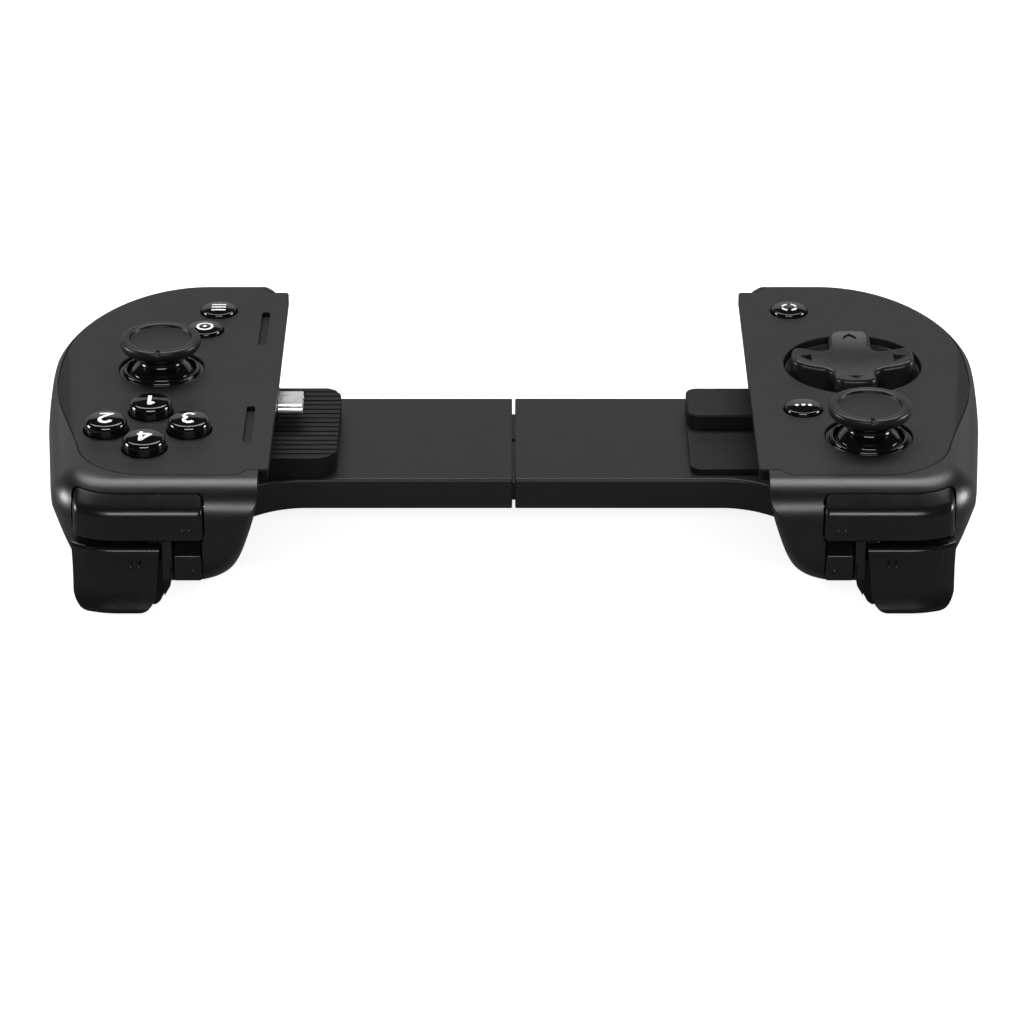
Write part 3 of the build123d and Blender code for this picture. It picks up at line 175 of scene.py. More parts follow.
def blank_material(name):
    """A material with its default nodes, its tree and its shader node."""
    material = bpy.data.materials.new(name)
    material.use_nodes = True
    tree = material.node_tree
    return material, tree, tree.nodes["Principled BSDF"]


def ray_kinds(tree):
    """Two masks: 1 for a ray straight from the camera, and 1 for a mirrored ray."""
    kinds = ("Is Camera Ray", "Is Glossy Ray")
    return [Wire(tree).node("LightPath", {}, {}, kind) for kind in kinds]


half = FLOOR_HALF
corners = [(-half, -half, 0), (half, -half, 0), (half, half, 0), (-half, half, 0)]
floor_mesh = bpy.data.meshes.new("floor")
floor_mesh.from_pydata(corners, [], [(0, 1, 2, 3)])
floor = bpy.data.objects.new("floor", floor_mesh)
bpy.context.scene.collection.objects.link(floor)
paper, paper_tree, paper_shader = blank_material("white_paper")
seen, mirrored = ray_kinds(paper_tree)
tone = blend(mirrored, grey(FLOOR_GREY), grey(FLOOR_IN_GLOSS))
paper_tree.links.new(tone.socket, paper_shader.inputs["Base Color"])
paper_shader.inputs["Roughness"].default_value = 0.9
paper_shader.inputs["Specular IOR Level"].default_value = 0.0
paper_shader.inputs["Emission Color"].default_value = (1, 1, 1, 1)
paper_tree.links.new((seen * FLOOR_GLOW).socket, paper_shader.inputs["Emission Strength"])
floor_mesh.materials.append(paper)

world = bpy.data.worlds.new("studio")
bpy.context.scene.world = world
world.use_nodes = True
world_tree = world.node_tree
seen, mirrored = ray_kinds(world_tree)
strength = WORLD_FILL + seen * (1 - WORLD_FILL) + mirrored * (GLOSS_FILL - WORLD_FILL)
sky = world_tree.nodes["Background"]
sky.inputs["Color"].default_value = (1, 1, 1, 1)
world_tree.links.new(strength.socket, sky.inputs["Strength"])
print("floor half", FLOOR_HALF, "m, world fill", WORLD_FILL)

# %% [markdown]
# ## Light
#
# Black plastic shows its shape by what it mirrors, so each lamp is placed by the reflection that it
# has to draw. A soft box above and behind draws the broad band on the rolled shoulders. A wide dim
# card stands behind and reaches up to 27 degrees, the height that a level plate mirrors. So it gives
# the plates their charcoal, and it shows in the far half of each domed button only, while the near half
# stays black. A long strip above the camera draws the thin line on every front edge and the dash on
# each button. Two small boxes at the sides draw the pairs of dots. A lamp's wattage is its brightness
# times its area times pi.

# %% Lamps
def lamp(name, direction, distance, size, brightness):
    """A rectangular lamp at a distance in a direction from the middle of the object, facing it."""
    data = bpy.data.lights.new(name, "AREA")
    data.shape = "RECTANGLE"
    data.size, data.size_y = size
    data.energy = brightness * size[0] * size[1] * np.pi
    made = bpy.data.objects.new(name, data)
    across, away, up = np.array(direction) / np.linalg.norm(direction) * distance
    made.location = (across, away, up)
    made.rotation_euler = made.location.to_track_quat("Z", "Y").to_euler()
    made.visible_camera = False
    bpy.context.scene.collection.objects.link(made)
    return data.energy


watts = [
    lamp("soft_box", (0, 0.45, 0.89), 1.0, (1.3, 0.50), 6.5),
    lamp("back_card", (0, 0.972, 0.235), 1.6, (3.4, 0.78), 0.55),
    lamp("front_strip", (0, -0.87, 0.50), 1.1, (0.85, 0.22), 12.0),
    lamp("left_box", (-1, 0.12, 0.10), 1.0, (0.30, 0.30), 22.0),
    lamp("right_box", (1, 0.12, 0.10), 1.0, (0.30, 0.30), 22.0),
]
print("lamps, W:", [round(value, 1) for value in watts])

# %% [markdown]
# ## Finishes
#
# Every plastic here is black, and they differ only in grain and gloss. A moulded surface copies the
# tool: spark erosion leaves a fine grain, polishing leaves a mirror. So one recipe makes them all: a
# pair of close greys mixed by a slow noise, a roughness that wanders a little, and a bump whose
# grain size is given in millimetres. Hands polish the high spots, so the roughness falls a little where a
# second, larger noise is high.

# %% Pattern helpers
def coordinates(tree):
    """A wire with the object's own coordinates, in metres."""
    return Wire(tree).node("TexCoord", {}, {}, "Object")


def noise(place, size_mm, detail=2.0):
    """Noise from 0 to 1 whose lumps are about size_mm across."""
    return place.node("TexNoise", {}, {"Vector": place, "Scale": 1000 / size_mm, "Detail": detail})


def set_bump(shader, tree, height, depth_mm):
    """Feeds a height from 0 to 1 into the shader's normal, depth_mm deep."""
    sockets = {"Height": height, "Distance": depth_mm * MM, "Strength": 1.0}
    bump = height.node("Bump", {}, sockets)
    tree.links.new(bump.socket, shader.inputs["Normal"])


def axis_of(place, axis):
    """One coordinate, 0 to 2 for X to Z."""
    return place.node("SeparateXYZ", {}, {0: place}, axis)


def sine(wire):
    """Sine of a wire's value, in radians."""
    return wire.sum("SINE", wire, 0)


print("patterns follow each object's own coordinates, in metres")

# %% One recipe for plastic and rubber
TONE_MM = 14.0
WEAR_MM = 9.0
WORN = (0.45, 0.75)
WORN_SMOOTHER = 0.03
WANDER_GRAINS = 9
WANDER = 0.09
SHADE_SHARE = 0.06
GRAIN_UNDER_RELIEF = 0.4


def moulded(name, dark, pale, rough, grain_mm, depth_mm, gloss, relief=None, shade=None):
    """Plastic or rubber: two greys, a wandering roughness and a grain; a shade mask, if given, paints
    shade by darkening the colour.
    """
    material, tree, shader = blank_material(name)
    place = coordinates(tree)
    tone = blend(noise(place, TONE_MM, 3.0), grey(dark), grey(pale))
    # painted shade: where the mask is 1, the colour falls to a small share of the dark grey
    if shade:
        tone = blend(shade(place), tone, grey(dark * SHADE_SHARE))
    tree.links.new(tone.socket, shader.inputs["Base Color"])
    worn = noise(place, WEAR_MM, 3.0).step(*WORN)
    wander = noise(place, grain_mm * WANDER_GRAINS)
    roughness = rough - WANDER / 3 + wander * WANDER - worn * WORN_SMOOTHER
    tree.links.new(roughness.socket, shader.inputs["Roughness"])
    shader.inputs["Specular IOR Level"].default_value = gloss
    grain = noise(place, grain_mm)
    height = grain if relief is None else grain * GRAIN_UNDER_RELIEF + relief(place)
    set_bump(shader, tree, height, depth_mm)
    return material


print("tone changes over", TONE_MM, "mm, wear over", WEAR_MM, "mm")

# %% Grip dots and painted shade in the openings
PYRAMID_PITCH = 1.5 * MM
PYRAMID_HEIGHT = 2.2
FLANK_X = (88.0 * MM, 92.5 * MM)
FLANK_TOP = (19.5 * MM, 23.5 * MM)
FLANK_FRONT = (-30.0 * MM, -24.0 * MM)


def grip_dots(place):
    """Rows of small pyramids on the outer flanks of both grips, for the fingers: a product of two
    sines, kept where the surface is far out, below the rim and behind the shoulder."""
    turns = 2 * np.pi / PYRAMID_PITCH
    across, along, up = (axis_of(place, axis) for axis in range(3))
    wave = sine(along * turns) * sine(up * turns)
    flank = across.sum("ABSOLUTE", across, 0).step(*FLANK_X)
    return wave * flank * (1 - up.step(*FLANK_TOP)) * along.step(*FLANK_FRONT) * PYRAMID_HEIGHT


# heights over which the face plate's colour is darkened in its openings, as painted shade
OPENING_SHADE = ((FACE_TOP - 0.55) * MM, (FACE_TOP - 0.20) * MM)
WELL_LOW, WELL_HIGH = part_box("left_dpad")
WELL_X = (WELL_LOW.x + WELL_HIGH.x) / 2
WELL_Y = (WELL_LOW.y + WELL_HIGH.y) / 2
WELL_EDGE = ((14.6 * MM) ** 2, (15.0 * MM) ** 2)


def painted_opening_shade(place):
    """Painted shade: 1 inside the openings of a face plate, just below its top, and 0 above; there the
    plate's colour is darkened. The direction pad's well, a circle in plan, stays charcoal: outside it the
    squared distance from its middle is large."""
    across = axis_of(place, 0) - WELL_X
    along = axis_of(place, 1) - WELL_Y
    outside = (across * across + along * along).step(*WELL_EDGE)
    return (1 - axis_of(place, 2).step(*OPENING_SHADE)) * outside


print("openings dark below", round(OPENING_SHADE[0] / MM, 2), "mm")

# %% Plastic and rubber
finish = {
    "shell": moulded("shell_black", 0.0035, 0.0050, 0.32, 0.35, 0.008, 0.46, grip_dots),
    "face": moulded("face_charcoal", 0.0080, 0.0095, 0.44, 0.16, 0.006, 0.20, None, painted_opening_shade),
    "bridge": moulded("bridge_charcoal", 0.0110, 0.0130, 0.34, 0.20, 0.005, 0.18),
    "trigger": moulded("trigger_black", 0.0035, 0.0050, 0.24, 0.30, 0.004, 0.40),
    "button": moulded("button_gloss", 0.0020, 0.0030, 0.05, 4.00, 0.002, 0.55),
    "collar": moulded("collar_gloss", 0.0020, 0.0030, 0.10, 3.00, 0.002, 0.50),
    "thumb": moulded("thumb_rubber", 0.0055, 0.0070, 0.34, 0.22, 0.006, 0.26),
    "skirt": moulded("skirt_satin", 0.0120, 0.0150, 0.40, 0.22, 0.004, 0.26),
    "cross": moulded("cross_satin", 0.0075, 0.0095, 0.32, 0.30, 0.004, 0.24),
    "pad": moulded("pad_rubber", 0.0035, 0.0050, 0.55, 0.25, 0.010, 0.16),
    "mat": moulded("mat_silicone", 0.30, 0.36, 0.50, 0.50, 0.006, 0.40),
    "rail": moulded("rail_black", 0.0080, 0.0100, 0.36, 0.40, 0.006, 0.35),
    "contact": moulded("contact_black", 0.0060, 0.0090, 0.45, 0.30, 0.006, 0.30),
    "mark": moulded("mark_white", 0.78, 0.84, 0.40, 0.20, 0.003, 0.40),
}
print("plastic and rubber finishes:", len(finish))

# %% [markdown]
# ## Metal, laminate and film
#
# Sheet steel and the plug's shell are metallic, and their roughness is drawn out along one
# direction, as rolling leaves it. A Mapping node squeezes the noise across that direction. The boards are
# glass cloth under green lacquer, so their bump is a fine weave. The springs' coils and the flat
# cable's tracks are stripes of the same kind. The cable's film and the triggers' springs are nearly
# black: painted shade, because they show in the seam between the bridge halves and in the gap above the
# trigger.

# %% Metal, board and film
LINE_MM = 0.30
LINE_WANDER = 0.16
LINE_SHADE = 0.88
LINE_DEPTH_MM = 0.004
SPECK_MM = 1.2
SPECK_SHARE = 0.2
STRIPE_EDGE = (0.35, 0.65)


def rolled(name, value, rough, stretch):
    """Metal with fine lines along the axis that stretch makes long."""
    material, tree, shader = blank_material(name)
    place = coordinates(tree)
    lines = noise(place.node("Mapping", {}, {"Vector": place, "Scale": stretch}), LINE_MM)
    tree.links.new((rough - LINE_WANDER / 2 + lines * LINE_WANDER).socket, shader.inputs["Roughness"])
    tone = blend(lines, grey(value * LINE_SHADE), grey(value))
    tree.links.new(tone.socket, shader.inputs["Base Color"])
    shader.inputs["Metallic"].default_value = 1.0
    set_bump(shader, tree, lines, LINE_DEPTH_MM)
    return material


def striped(name, first, second, pitch_mm, rough, axis, depth_mm, metal=0.0):
    """Two colours in stripes across one axis, as a weave, a coil or copper tracks."""
    material, tree, shader = blank_material(name)
    place = coordinates(tree)
    along = axis_of(place, axis) * (2000 * np.pi / pitch_mm)
    wave = sine(along) * 0.5 + 0.5
    speck = noise(place, SPECK_MM)
    mask = (wave.step(*STRIPE_EDGE) * (1 - SPECK_SHARE) + speck * SPECK_SHARE).least(1.0)
    tree.links.new(blend(mask, first, second).socket, shader.inputs["Base Color"])
    tree.links.new((rough + speck * 0.1).socket, shader.inputs["Roughness"])
    shader.inputs["Metallic"].default_value = metal
    set_bump(shader, tree, mask, depth_mm)
    return material


LACQUER_DARK = (0.008, 0.045, 0.018, 1)
LACQUER_PALE = (0.012, 0.070, 0.028, 1)
# the film's two browns are nearly black: painted shade where the cable shows through the seam between the
# bridge halves
PAINTED_SHADE_FILM_DARK = (0.008, 0.005, 0.003, 1)
PAINTED_SHADE_FILM_PALE = (0.020, 0.011, 0.005, 1)
ALONG_X = (0.2, 1, 1)
finish["plug"] = rolled("plug_nickel", 0.95, 0.30, (0.15, 1, 1))
finish["steel"] = rolled("sheet_steel", 0.55, 0.32, ALONG_X)
finish["spring"] = striped("spring_coils", grey(0.02), grey(0.50), 0.8, 0.30, 0, 0.10, 1.0)
# painted shade: the triggers' springs are made nearly black, so that the gap above each trigger stays
# dark
finish["dark_spring"] = striped("dark_spring_coils", grey(0.004), grey(0.030), 0.8, 0.40, 0, 0.10, 1.0)
finish["pin"] = rolled("pin_steel", 0.60, 0.24, ALONG_X)
finish["board"] = striped("board_laminate", LACQUER_DARK, LACQUER_PALE, 0.8, 0.30, 1, 0.006)
finish["cable"] = striped("cable_film", PAINTED_SHADE_FILM_DARK, PAINTED_SHADE_FILM_PALE, 1.0, 0.34, 1, 0.010)
print("finishes in all:", len(finish))

# %% [markdown]
# ## Finishes on the nodes
#
# The CAD nodes keep their meshes and only get a finish each. It could be written out node by node, but
# the record already names a material slot for every node, so a table from slot to finish and one loop
# do it. A node that a finer piece replaces below gets a finish as well, though it is then hidden.

# %% Finishes on the nodes
SLOT_FINISH = {
    "shell_plastic": "shell", "face_plastic": "face", "bridge_plastic": "bridge",
    "trigger_plastic": "trigger", "button_plastic": "trigger", "gloss_plastic": "button",
    "stick_rubber": "thumb", "pad_rubber": "pad", "mat_rubber": "mat", "rail_plastic": "rail",
    "pin_steel": "pin", "spring_steel": "spring", "stick_metal": "steel", "plug_metal": "plug",
    "contact_plastic": "contact", "board_laminate": "board", "cable_film": "cable",
}
slot_of = {part["node"]: part["material_slot"] for part in record["subparts"]}
body_of = {name: body for body, names in record["behaviour"]["bodies"].items() for name in names}
for name, made in nodes.items():
    # the trigger springs get the near-black coils, painted shade in the gap above the trigger
    material = finish["dark_spring" if name.endswith("trigger_spring") else SLOT_FINISH[slot_of[name]]]
    if made.data.materials:
        made.material_slots[0].material = material
    else:
        made.data.materials.append(material)
print("nodes finished:", len(slot_of), "of", len(nodes))

# %% [markdown]
# ## Surfaces from two parameters
#
# A turned piece is a profile carried round an axis, and a printed line is a small section carried
# along a path. Both are grids of points worked out as whole arrays, and one helper makes such
# a grid a mesh: it joins the seam and the poles, points the faces outwards and marks edges sharper
# than 35 degrees, so that the rest shades smoothly.

# %% Meshes from grids
SHARP_DEG = 35.0
JOIN_AT = 1e-7


def grid_faces(rows, columns):
    """Quads between neighbouring rows; the last column joins the first."""
    row = np.arange(rows - 1)[:, None] * columns
    here = np.arange(columns)[None, :]
    after = (here + 1) % columns
    below = row + columns
    return np.stack([row + here, row + after, below + after, below + here], -1).reshape(-1, 4)


def tidy(mesh, join=JOIN_AT, flat_deg=0.0):
    """Joins points that coincide, and either drops faces without area or, if given an angle, makes
    flat neighbours one face. Then points the faces outwards and smooths all but sharp edges."""
    work = bmesh.new()
    work.from_mesh(mesh)
    bmesh.ops.remove_doubles(work, verts=work.verts, dist=join)
    if flat_deg:
        angle = radians(flat_deg)
        bmesh.ops.dissolve_limit(work, angle_limit=angle, verts=work.verts, edges=work.edges)
    else:
        bmesh.ops.dissolve_degenerate(work, edges=work.edges, dist=join)
    bmesh.ops.recalc_face_normals(work, faces=work.faces)
    work.to_mesh(mesh)
    work.free()
    mesh.shade_smooth()
    mesh.set_sharp_from_angle(angle=radians(SHARP_DEG))


def add_piece(name, mesh, material, body, stands_for=()):
    """Puts a finished mesh into the scene: its finish, its body and the node it stands for."""
    made = bpy.data.objects.new(name, mesh)
    bpy.context.scene.collection.objects.link(made)
    mesh.materials.clear()
    mesh.materials.append(finish[material])
    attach(made, body)
    if stands_for:
        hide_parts(*stands_for)
    return made


def grid_piece(name, grids, material, body, stands_for=()):
    """One object of closed grids of points, each (rows, columns, 3) in millimetres."""
    points = np.concatenate([grid.reshape(-1, 3) for grid in grids]) * MM
    faces = []
    start = 0
    for grid in grids:
        faces.append(grid_faces(grid.shape[0], grid.shape[1]) + start)
        start += grid.shape[0] * grid.shape[1]
    mesh = bpy.data.meshes.new(name)
    mesh.from_pydata(points.tolist(), [], np.concatenate(faces).tolist())
    tidy(mesh)
    return add_piece(name, mesh, material, body, stands_for)


print("sharp edges from", SHARP_DEG, "degrees")

# %% Profiles and turning
ROUND_TURNS = 128


def rounded(corners, reaches, steps=8):
    """A line whose inner corners are bent: each bend is a quadratic curve that starts and ends at
    its reach from the corner, with the corner as its control point."""
    corners = np.array(corners, float)
    share = np.linspace(0, 1, steps)[:, None]
    line = [corners[:1]]
    for before, corner, after, reach in zip(corners[:-2], corners[1:-1], corners[2:], reaches):
        first = corner + (before - corner) * min(0.5, reach / np.linalg.norm(before - corner))
        last = corner + (after - corner) * min(0.5, reach / np.linalg.norm(after - corner))
        line.append(first * (1 - share) ** 2 + corner * 2 * share * (1 - share) + last * share ** 2)
    line.append(corners[-1:])
    return np.vstack(line)


def turned(profile, at, turns=ROUND_TURNS):
    """A (radius, height) profile turned about the upright line through at: x = r cos a, y = r sin a."""
    profile = np.array(profile, float)
    angle = np.linspace(0, 2 * np.pi, turns, endpoint=False)
    radius = profile[:, 0][:, None]
    height = np.repeat(profile[:, 1][:, None], turns, 1)
    return np.stack([radius * np.cos(angle), radius * np.sin(angle), height], -1) + np.array(at)


def centre(node):
    """The middle of a node's box in plan, in millimetres, with the height of the face plates."""
    low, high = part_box(node)
    return np.array([(low.x + high.x) / 2 / MM, (low.y + high.y) / 2 / MM, FACE_TOP])


print("a turned piece has", ROUND_TURNS, "sides, unless it asks for another number")

# %% [markdown]
# ## Glossy button caps
#
# The real caps are moulded in two shots: a black body and a clear, domed skin. What the eye
# catches is the dome, whose far half mirrors the card, and its round shoulder, which mirrors the strip
# and the side boxes. The CAD caps have the right size but few faces, and a mirror shows every face. So
# each cap is turned again with a fine profile that keeps the flange and the plunger under the face plate.

# %% Button caps
RIM_DROP = 0.10
FLANGE_OUT = 0.75
FLANGE_TOP = -2.5
FLANGE_FOOT = -3.3
PLUNGER_R = 1.5
PLUNGER_FOOT = -5.6
DRAFT = 0.05


def cap_profile(radius, rise, dome, shoulder):
    """From the middle of the dome, whose height falls as radius squared, over a round shoulder, down to
    the plunger's foot."""
    across = np.linspace(0, radius - shoulder, 18)
    top = np.stack([across, rise - dome * (across / radius) ** 2], -1)
    rim = top[-1, 1] - RIM_DROP * shoulder
    bend = rounded([top[-1], (radius - DRAFT, rim), (radius, FLANGE_TOP)], [shoulder], 16)
    out = radius + FLANGE_OUT
    flange = [(out, FLANGE_TOP), (out, FLANGE_FOOT)]
    plunger = [(PLUNGER_R, FLANGE_FOOT), (PLUNGER_R, PLUNGER_FOOT), (0, PLUNGER_FOOT)]
    return np.vstack([top, bend, flange, plunger])


BUTTON = {"radius": 4.35, "rise": 2.8, "dome": 0.60, "shoulder": 1.75}
SMALL = {"radius": 3.75, "rise": 1.0, "dome": 0.36, "shoulder": 0.85}
SMALL_NAMES = ("menu_button", "home_button", "capture_button", "options_button")


def dome_height(size, x, y):
    """Height of a cap's dome above the face plate at a place given from its middle."""
    return size["rise"] - size["dome"] * (x * x + y * y) / size["radius"] ** 2


caps = {name: BUTTON for name in sorted(nodes) if "face_button" in name}
caps.update({name: SMALL for name in sorted(nodes) if name.endswith(SMALL_NAMES)})
for name, size in caps.items():
    cap = turned(cap_profile(**size), centre(name))
    grid_piece(name + "_cap", [cap], "button", name, [name])
print("button caps:", len(caps))

# %% [markdown]
# ## Printed marks
#
# Marks on such caps are printed in white under the skin. They could be a pattern in the cap's
# finish, but then they would be missing from its mesh, so they are thin pieces. A line of print is a
# flat section, a stroke's width across and a few hundredths of a millimetre thick, carried along the
# middle line of the stroke. Its height follows the dome. The face buttons carry plain numbers, and the
# small ones the usual bars, dots and rings. The player sits on the far side, so all are turned by half
# a turn.

# %% Strokes
PRINT_OVER = 0.03
PRINT_UNDER = 0.05


def stroke(path, width, height_at, closed=False):
    """A flat section carried along a path: row i is the path's point i moved along the normal by plus
    or minus half the width, a little over and a little under the surface."""
    path = np.array(path, float)
    if closed:
        ahead = np.roll(path, -1, 0) - np.roll(path, 1, 0)
    else:
        ahead = np.gradient(path, axis=0)
    ahead = ahead / np.linalg.norm(ahead, axis=1)[:, None]
    side = np.stack([-ahead[:, 1], ahead[:, 0]], -1)
    section = np.array([(-1, PRINT_OVER), (1, PRINT_OVER), (1, -PRINT_UNDER), (-1, -PRINT_UNDER)])
    plan = path[:, None, :] + side[:, None, :] * section[None, :, :1] * width / 2
    height = height_at(plan[..., 0], plan[..., 1]) + section[None, :, 1]
    grid = np.concatenate([plan, height[..., None]], -1)
    if closed:
        return np.concatenate([grid, grid[:1]])
    ends = [np.repeat(grid[end].mean(0)[None, None, :], 4, 1) for end in (0, -1)]
    return np.concatenate([ends[0], grid, ends[1]])


def arc(x, y, radius, start, end, steps=24):
    """Points on a circle between two angles in degrees."""
    angle = np.radians(np.linspace(start, end, steps))
    return np.stack([x + radius * np.cos(angle), y + radius * np.sin(angle)], -1)


def fine(points, spacing=0.12):
    """The same line with a point about every spacing."""
    points = np.array(points, float)
    gaps = np.linalg.norm(np.diff(points, axis=0), axis=1)
    along = np.concatenate([[0], np.cumsum(gaps)])
    places = np.linspace(0, along[-1], max(3, int(along[-1] / spacing)))
    return np.stack([np.interp(places, along, points[:, axis]) for axis in (0, 1)], -1)


print("print stands", PRINT_OVER, "mm over the dome")

# %% Numbers, bars, dots and rings
BEND = 0.25
NUMBERS = {
    1: [rounded([(-0.85, 1.15), (0.15, 2.0), (0.15, -2.0)], [BEND])],
    2: [np.vstack([arc(0, 0.85, 1.15, 165, -35), [(-1.25, -1.95), (1.3, -1.95)]])],
    3: [np.vstack([arc(-0.05, 1.0, 0.98, 150, -80), arc(-0.05, -0.95, 1.05, 80, -150)])],
    4: [rounded([(0.65, -2.0), (0.65, 1.95), (-1.35, -0.75), (1.4, -0.75)], [BEND, BEND])],
}
ON_FACE = {"far": 1, "outer": 2, "inner": 3, "near": 4}
SIGNS = {
    "menu_button": [[(-1.5, height), (1.5, height)] for height in (1.3, 0.0, -1.3)],
    "capture_button": [arc(0, 0, 1.5, start + 16, start + 74) for start in (0, 90, 180, 270)],
}
DOTS = {"options_button": [(-1.3, 0), (0, 0), (1.3, 0)], "home_button": [(0, 0)]}
DOT = [(0, PRINT_OVER), (0.42, PRINT_OVER), (0.42, -PRINT_UNDER), (0, -PRINT_UNDER)]
RINGS = {"home_button": 1.55}
WIDE_LINE = 0.74
THIN_LINE = 0.50
print("numbers:", len(NUMBERS), "signs:", len({*SIGNS, *DOTS, *RINGS}))

# %% Prints
def marks_on(name, size):
    """All strokes, dots and rings of one cap, as grids about the cap's middle."""
    short = name.split("_", 1)[1]

    def on_cap(x, y):
        return dome_height(size, x, y)

    lines = NUMBERS[ON_FACE[name.rsplit("_", 1)[1]]] if size is BUTTON else SIGNS.get(short, [])
    width = WIDE_LINE if size is BUTTON else THIN_LINE
    grids = [stroke(fine(-np.array(line)), width, on_cap) for line in lines]
    for x, y in DOTS.get(short, []):
        grids.append(turned(DOT, (x, y, float(on_cap(x, y))), 24))
    if short in RINGS:
        grids.append(stroke(arc(0, 0, RINGS[short], 0, 360, 73)[:-1], width, on_cap, closed=True))
    return grids


for name, size in caps.items():
    prints = [grid + centre(name) for grid in marks_on(name, size)]
    grid_piece(name + "_print", prints, "mark", name)
print("prints:", len(caps))

# %% [markdown]
# ## Thumb caps, collars, skirts and bezels
#
# A thumb cap is rubber on a hard core: a rolled rim, a shallow dish with a step round it and
# one notch that tells the thumb which way is up. Under it a polished bell-shaped collar stands on the
# skirt. The skirt is part of a ball about the stick's pivot, so the opening stays covered at every tilt,
# and the collar ends close to that ball, so that it tilts without touching the bezel. A bead runs round
# the bezel. Turning gives all but the notch, and the notch lowers the points of the rim that lie within
# its width.

# %% Thumb cap
CAP_TOP = 7.0
DISH_R = 6.1
DISH_DEPTH = 0.78
DISH_RISE = 0.14
STEM_R = 1.55
NOTCH_DEPTH = 0.34
NOTCH_HALF = 0.34


def thumb_cap():
    """Profile from the middle of the dish over the rim and under it to the neck, turned; then each
    point of the rim near X 0 is lowered by the notch's depth times a bell across X."""
    dish = np.linspace(0, DISH_R, 14)
    bowl = np.stack([dish, CAP_TOP - DISH_DEPTH + DISH_RISE * (dish / DISH_R) ** 2], -1)
    rim = rounded([bowl[-1], (6.30, 6.40), (6.45, 6.95), (7.15, 7.10), (8.30, 6.95), (8.30, 5.2),
                   (7.1, 4.15), (4.8, 3.95), (3.6, 3.5), (3.4, 2.56), (STEM_R, 2.56), (STEM_R, 5.2),
                   (0, 5.2)],
                  [0.12, 0.15, 0.25, 1.1, 0.9, 1.0, 0.8, 0.5, 0.05, 0.05, 0.05])
    grid = turned(np.vstack([bowl, rim]), (0, 0, 0), 180)
    x, y, z = grid[..., 0], grid[..., 1], grid[..., 2]
    on_rim = (np.hypot(x, y) > 6.5) & (y < 0) & (z > 5.9)
    grid[..., 2] = z - NOTCH_DEPTH * np.exp(-(x / NOTCH_HALF) ** 4) * on_rim
    return grid


print("thumb cap, highest point:", thumb_cap()[..., 2].max().round(2), "mm over the face plate")

# %% Skirt, collar and bezel
PIVOT = -5.8
SKIRT_R = 8.3
SKIRT_T = 0.6
SKIRT_DEG = 76.0
HOLE_FLARE = 1.08
COLLAR_R = 4.25
COLLAR_TOP = 3.75
COLLAR_HOLE = 3.45


def ball_line(radius, start_deg, end_deg, steps):
    """Points on a circle about the pivot, by angle from straight up."""
    angle = np.radians(np.linspace(start_deg, end_deg, steps))
    return np.stack([radius * np.sin(angle), PIVOT + radius * np.cos(angle)], -1)


def skirt():
    """Outer ball line out to the rim and the inner one back to the stem's hole."""
    hole_deg = np.degrees(np.arcsin(STEM_R / SKIRT_R))
    line = np.vstack([ball_line(SKIRT_R, hole_deg, SKIRT_DEG, 40),
                      ball_line(SKIRT_R - SKIRT_T, SKIRT_DEG, hole_deg * HOLE_FLARE, 30)])
    return turned(np.vstack([line, line[:1]]), (0, 0, 0))


def collar():
    """Polished bell that stands on the skirt: upright under the cap, then flaring to a thin foot. Its
    profile is turned."""
    ring = rounded([(COLLAR_HOLE, 2.0), (COLLAR_HOLE, COLLAR_TOP), (COLLAR_R + 0.25, COLLAR_TOP),
                    (COLLAR_R, 1.9), (5.1, 1.15), (6.0, 0.25), (6.3, -0.15), (6.3, -0.42),
                    (COLLAR_HOLE, 1.2), (COLLAR_HOLE, 2.0)],
                   [0.05, 0.5, 0.8, 0.5, 0.4, 0.2, 0.1, 0.05], 14)
    return turned(ring, (0, 0, 0))


def bezel():
    """Ring in the plate's opening, its profile turned: a round bead at its inner edge, a wall and a
    flange under the plate."""
    ring = rounded([(7.15, -0.55), (7.12, -0.25), (7.2, 0.03), (7.75, 0.03), (7.95, -0.55), (8.68, -0.55),
                    (8.68, -2.42), (9.95, -2.42), (9.95, -3.28), (8.55, -3.28), (7.15, -0.55)],
                   [0.1, 0.25, 0.25, 0.1, 0.08, 0.05, 0.05, 0.05, 0.05], 8)
    return turned(ring, (0, 0, 0))


for side in ("left", "right"):
    stick, pod = side + "_stick", side + "_pod"
    at = centre(stick + "_cap")
    grid_piece(stick + "_thumb", [thumb_cap() + at], "thumb", stick, [stick + "_cap"])
    grid_piece(stick + "_skirt", [skirt() + at], "skirt", stick, [stick + "_dust_cap"])
    grid_piece(stick + "_collar", [collar() + at], "collar", stick)
    grid_piece(stick + "_bead", [bezel() + at], "collar", pod, [stick + "_bezel"])
    print(stick, "dressed about", at.round(2).tolist(), "mm")

# %% [markdown]
# ## Direction pad
#
# The pad is one moulding: a cross with round tips whose top is hollow like a saucer, with a triangular
# dent in three arms and a chevron in the fourth. A grid in polar form suits it: rays from the middle,
# each ending on the cross's outline. The outline comes from a distance function, and the same function
# gives the rounded top edge, because its height depends only on the distance from the outline. A turned
# bowl on the carrier closes the well between the arms.

# %% Outline of the cross
ARM_END = 12.7
ARM_HALF = 4.35
TIP_R = 2.0
CROOK_R = 2.4


def inside_both(first, second, radius):
    """Distance to the overlap of two shapes, its corners rounded; negative inside: the larger distance,
    and near a corner the hypotenuse of both."""
    reach = np.hypot(np.maximum(first + radius, 0), np.maximum(second + radius, 0))
    return np.minimum(-radius, np.maximum(first, second)) + reach


def inside_either(first, second, radius):
    """Distance to two shapes together, the crook between them rounded; negative inside: the smaller
    distance, less the hypotenuse of what both lack of the radius."""
    reach = np.hypot(np.maximum(radius - first, 0), np.maximum(radius - second, 0))
    return np.maximum(radius, np.minimum(first, second)) - reach


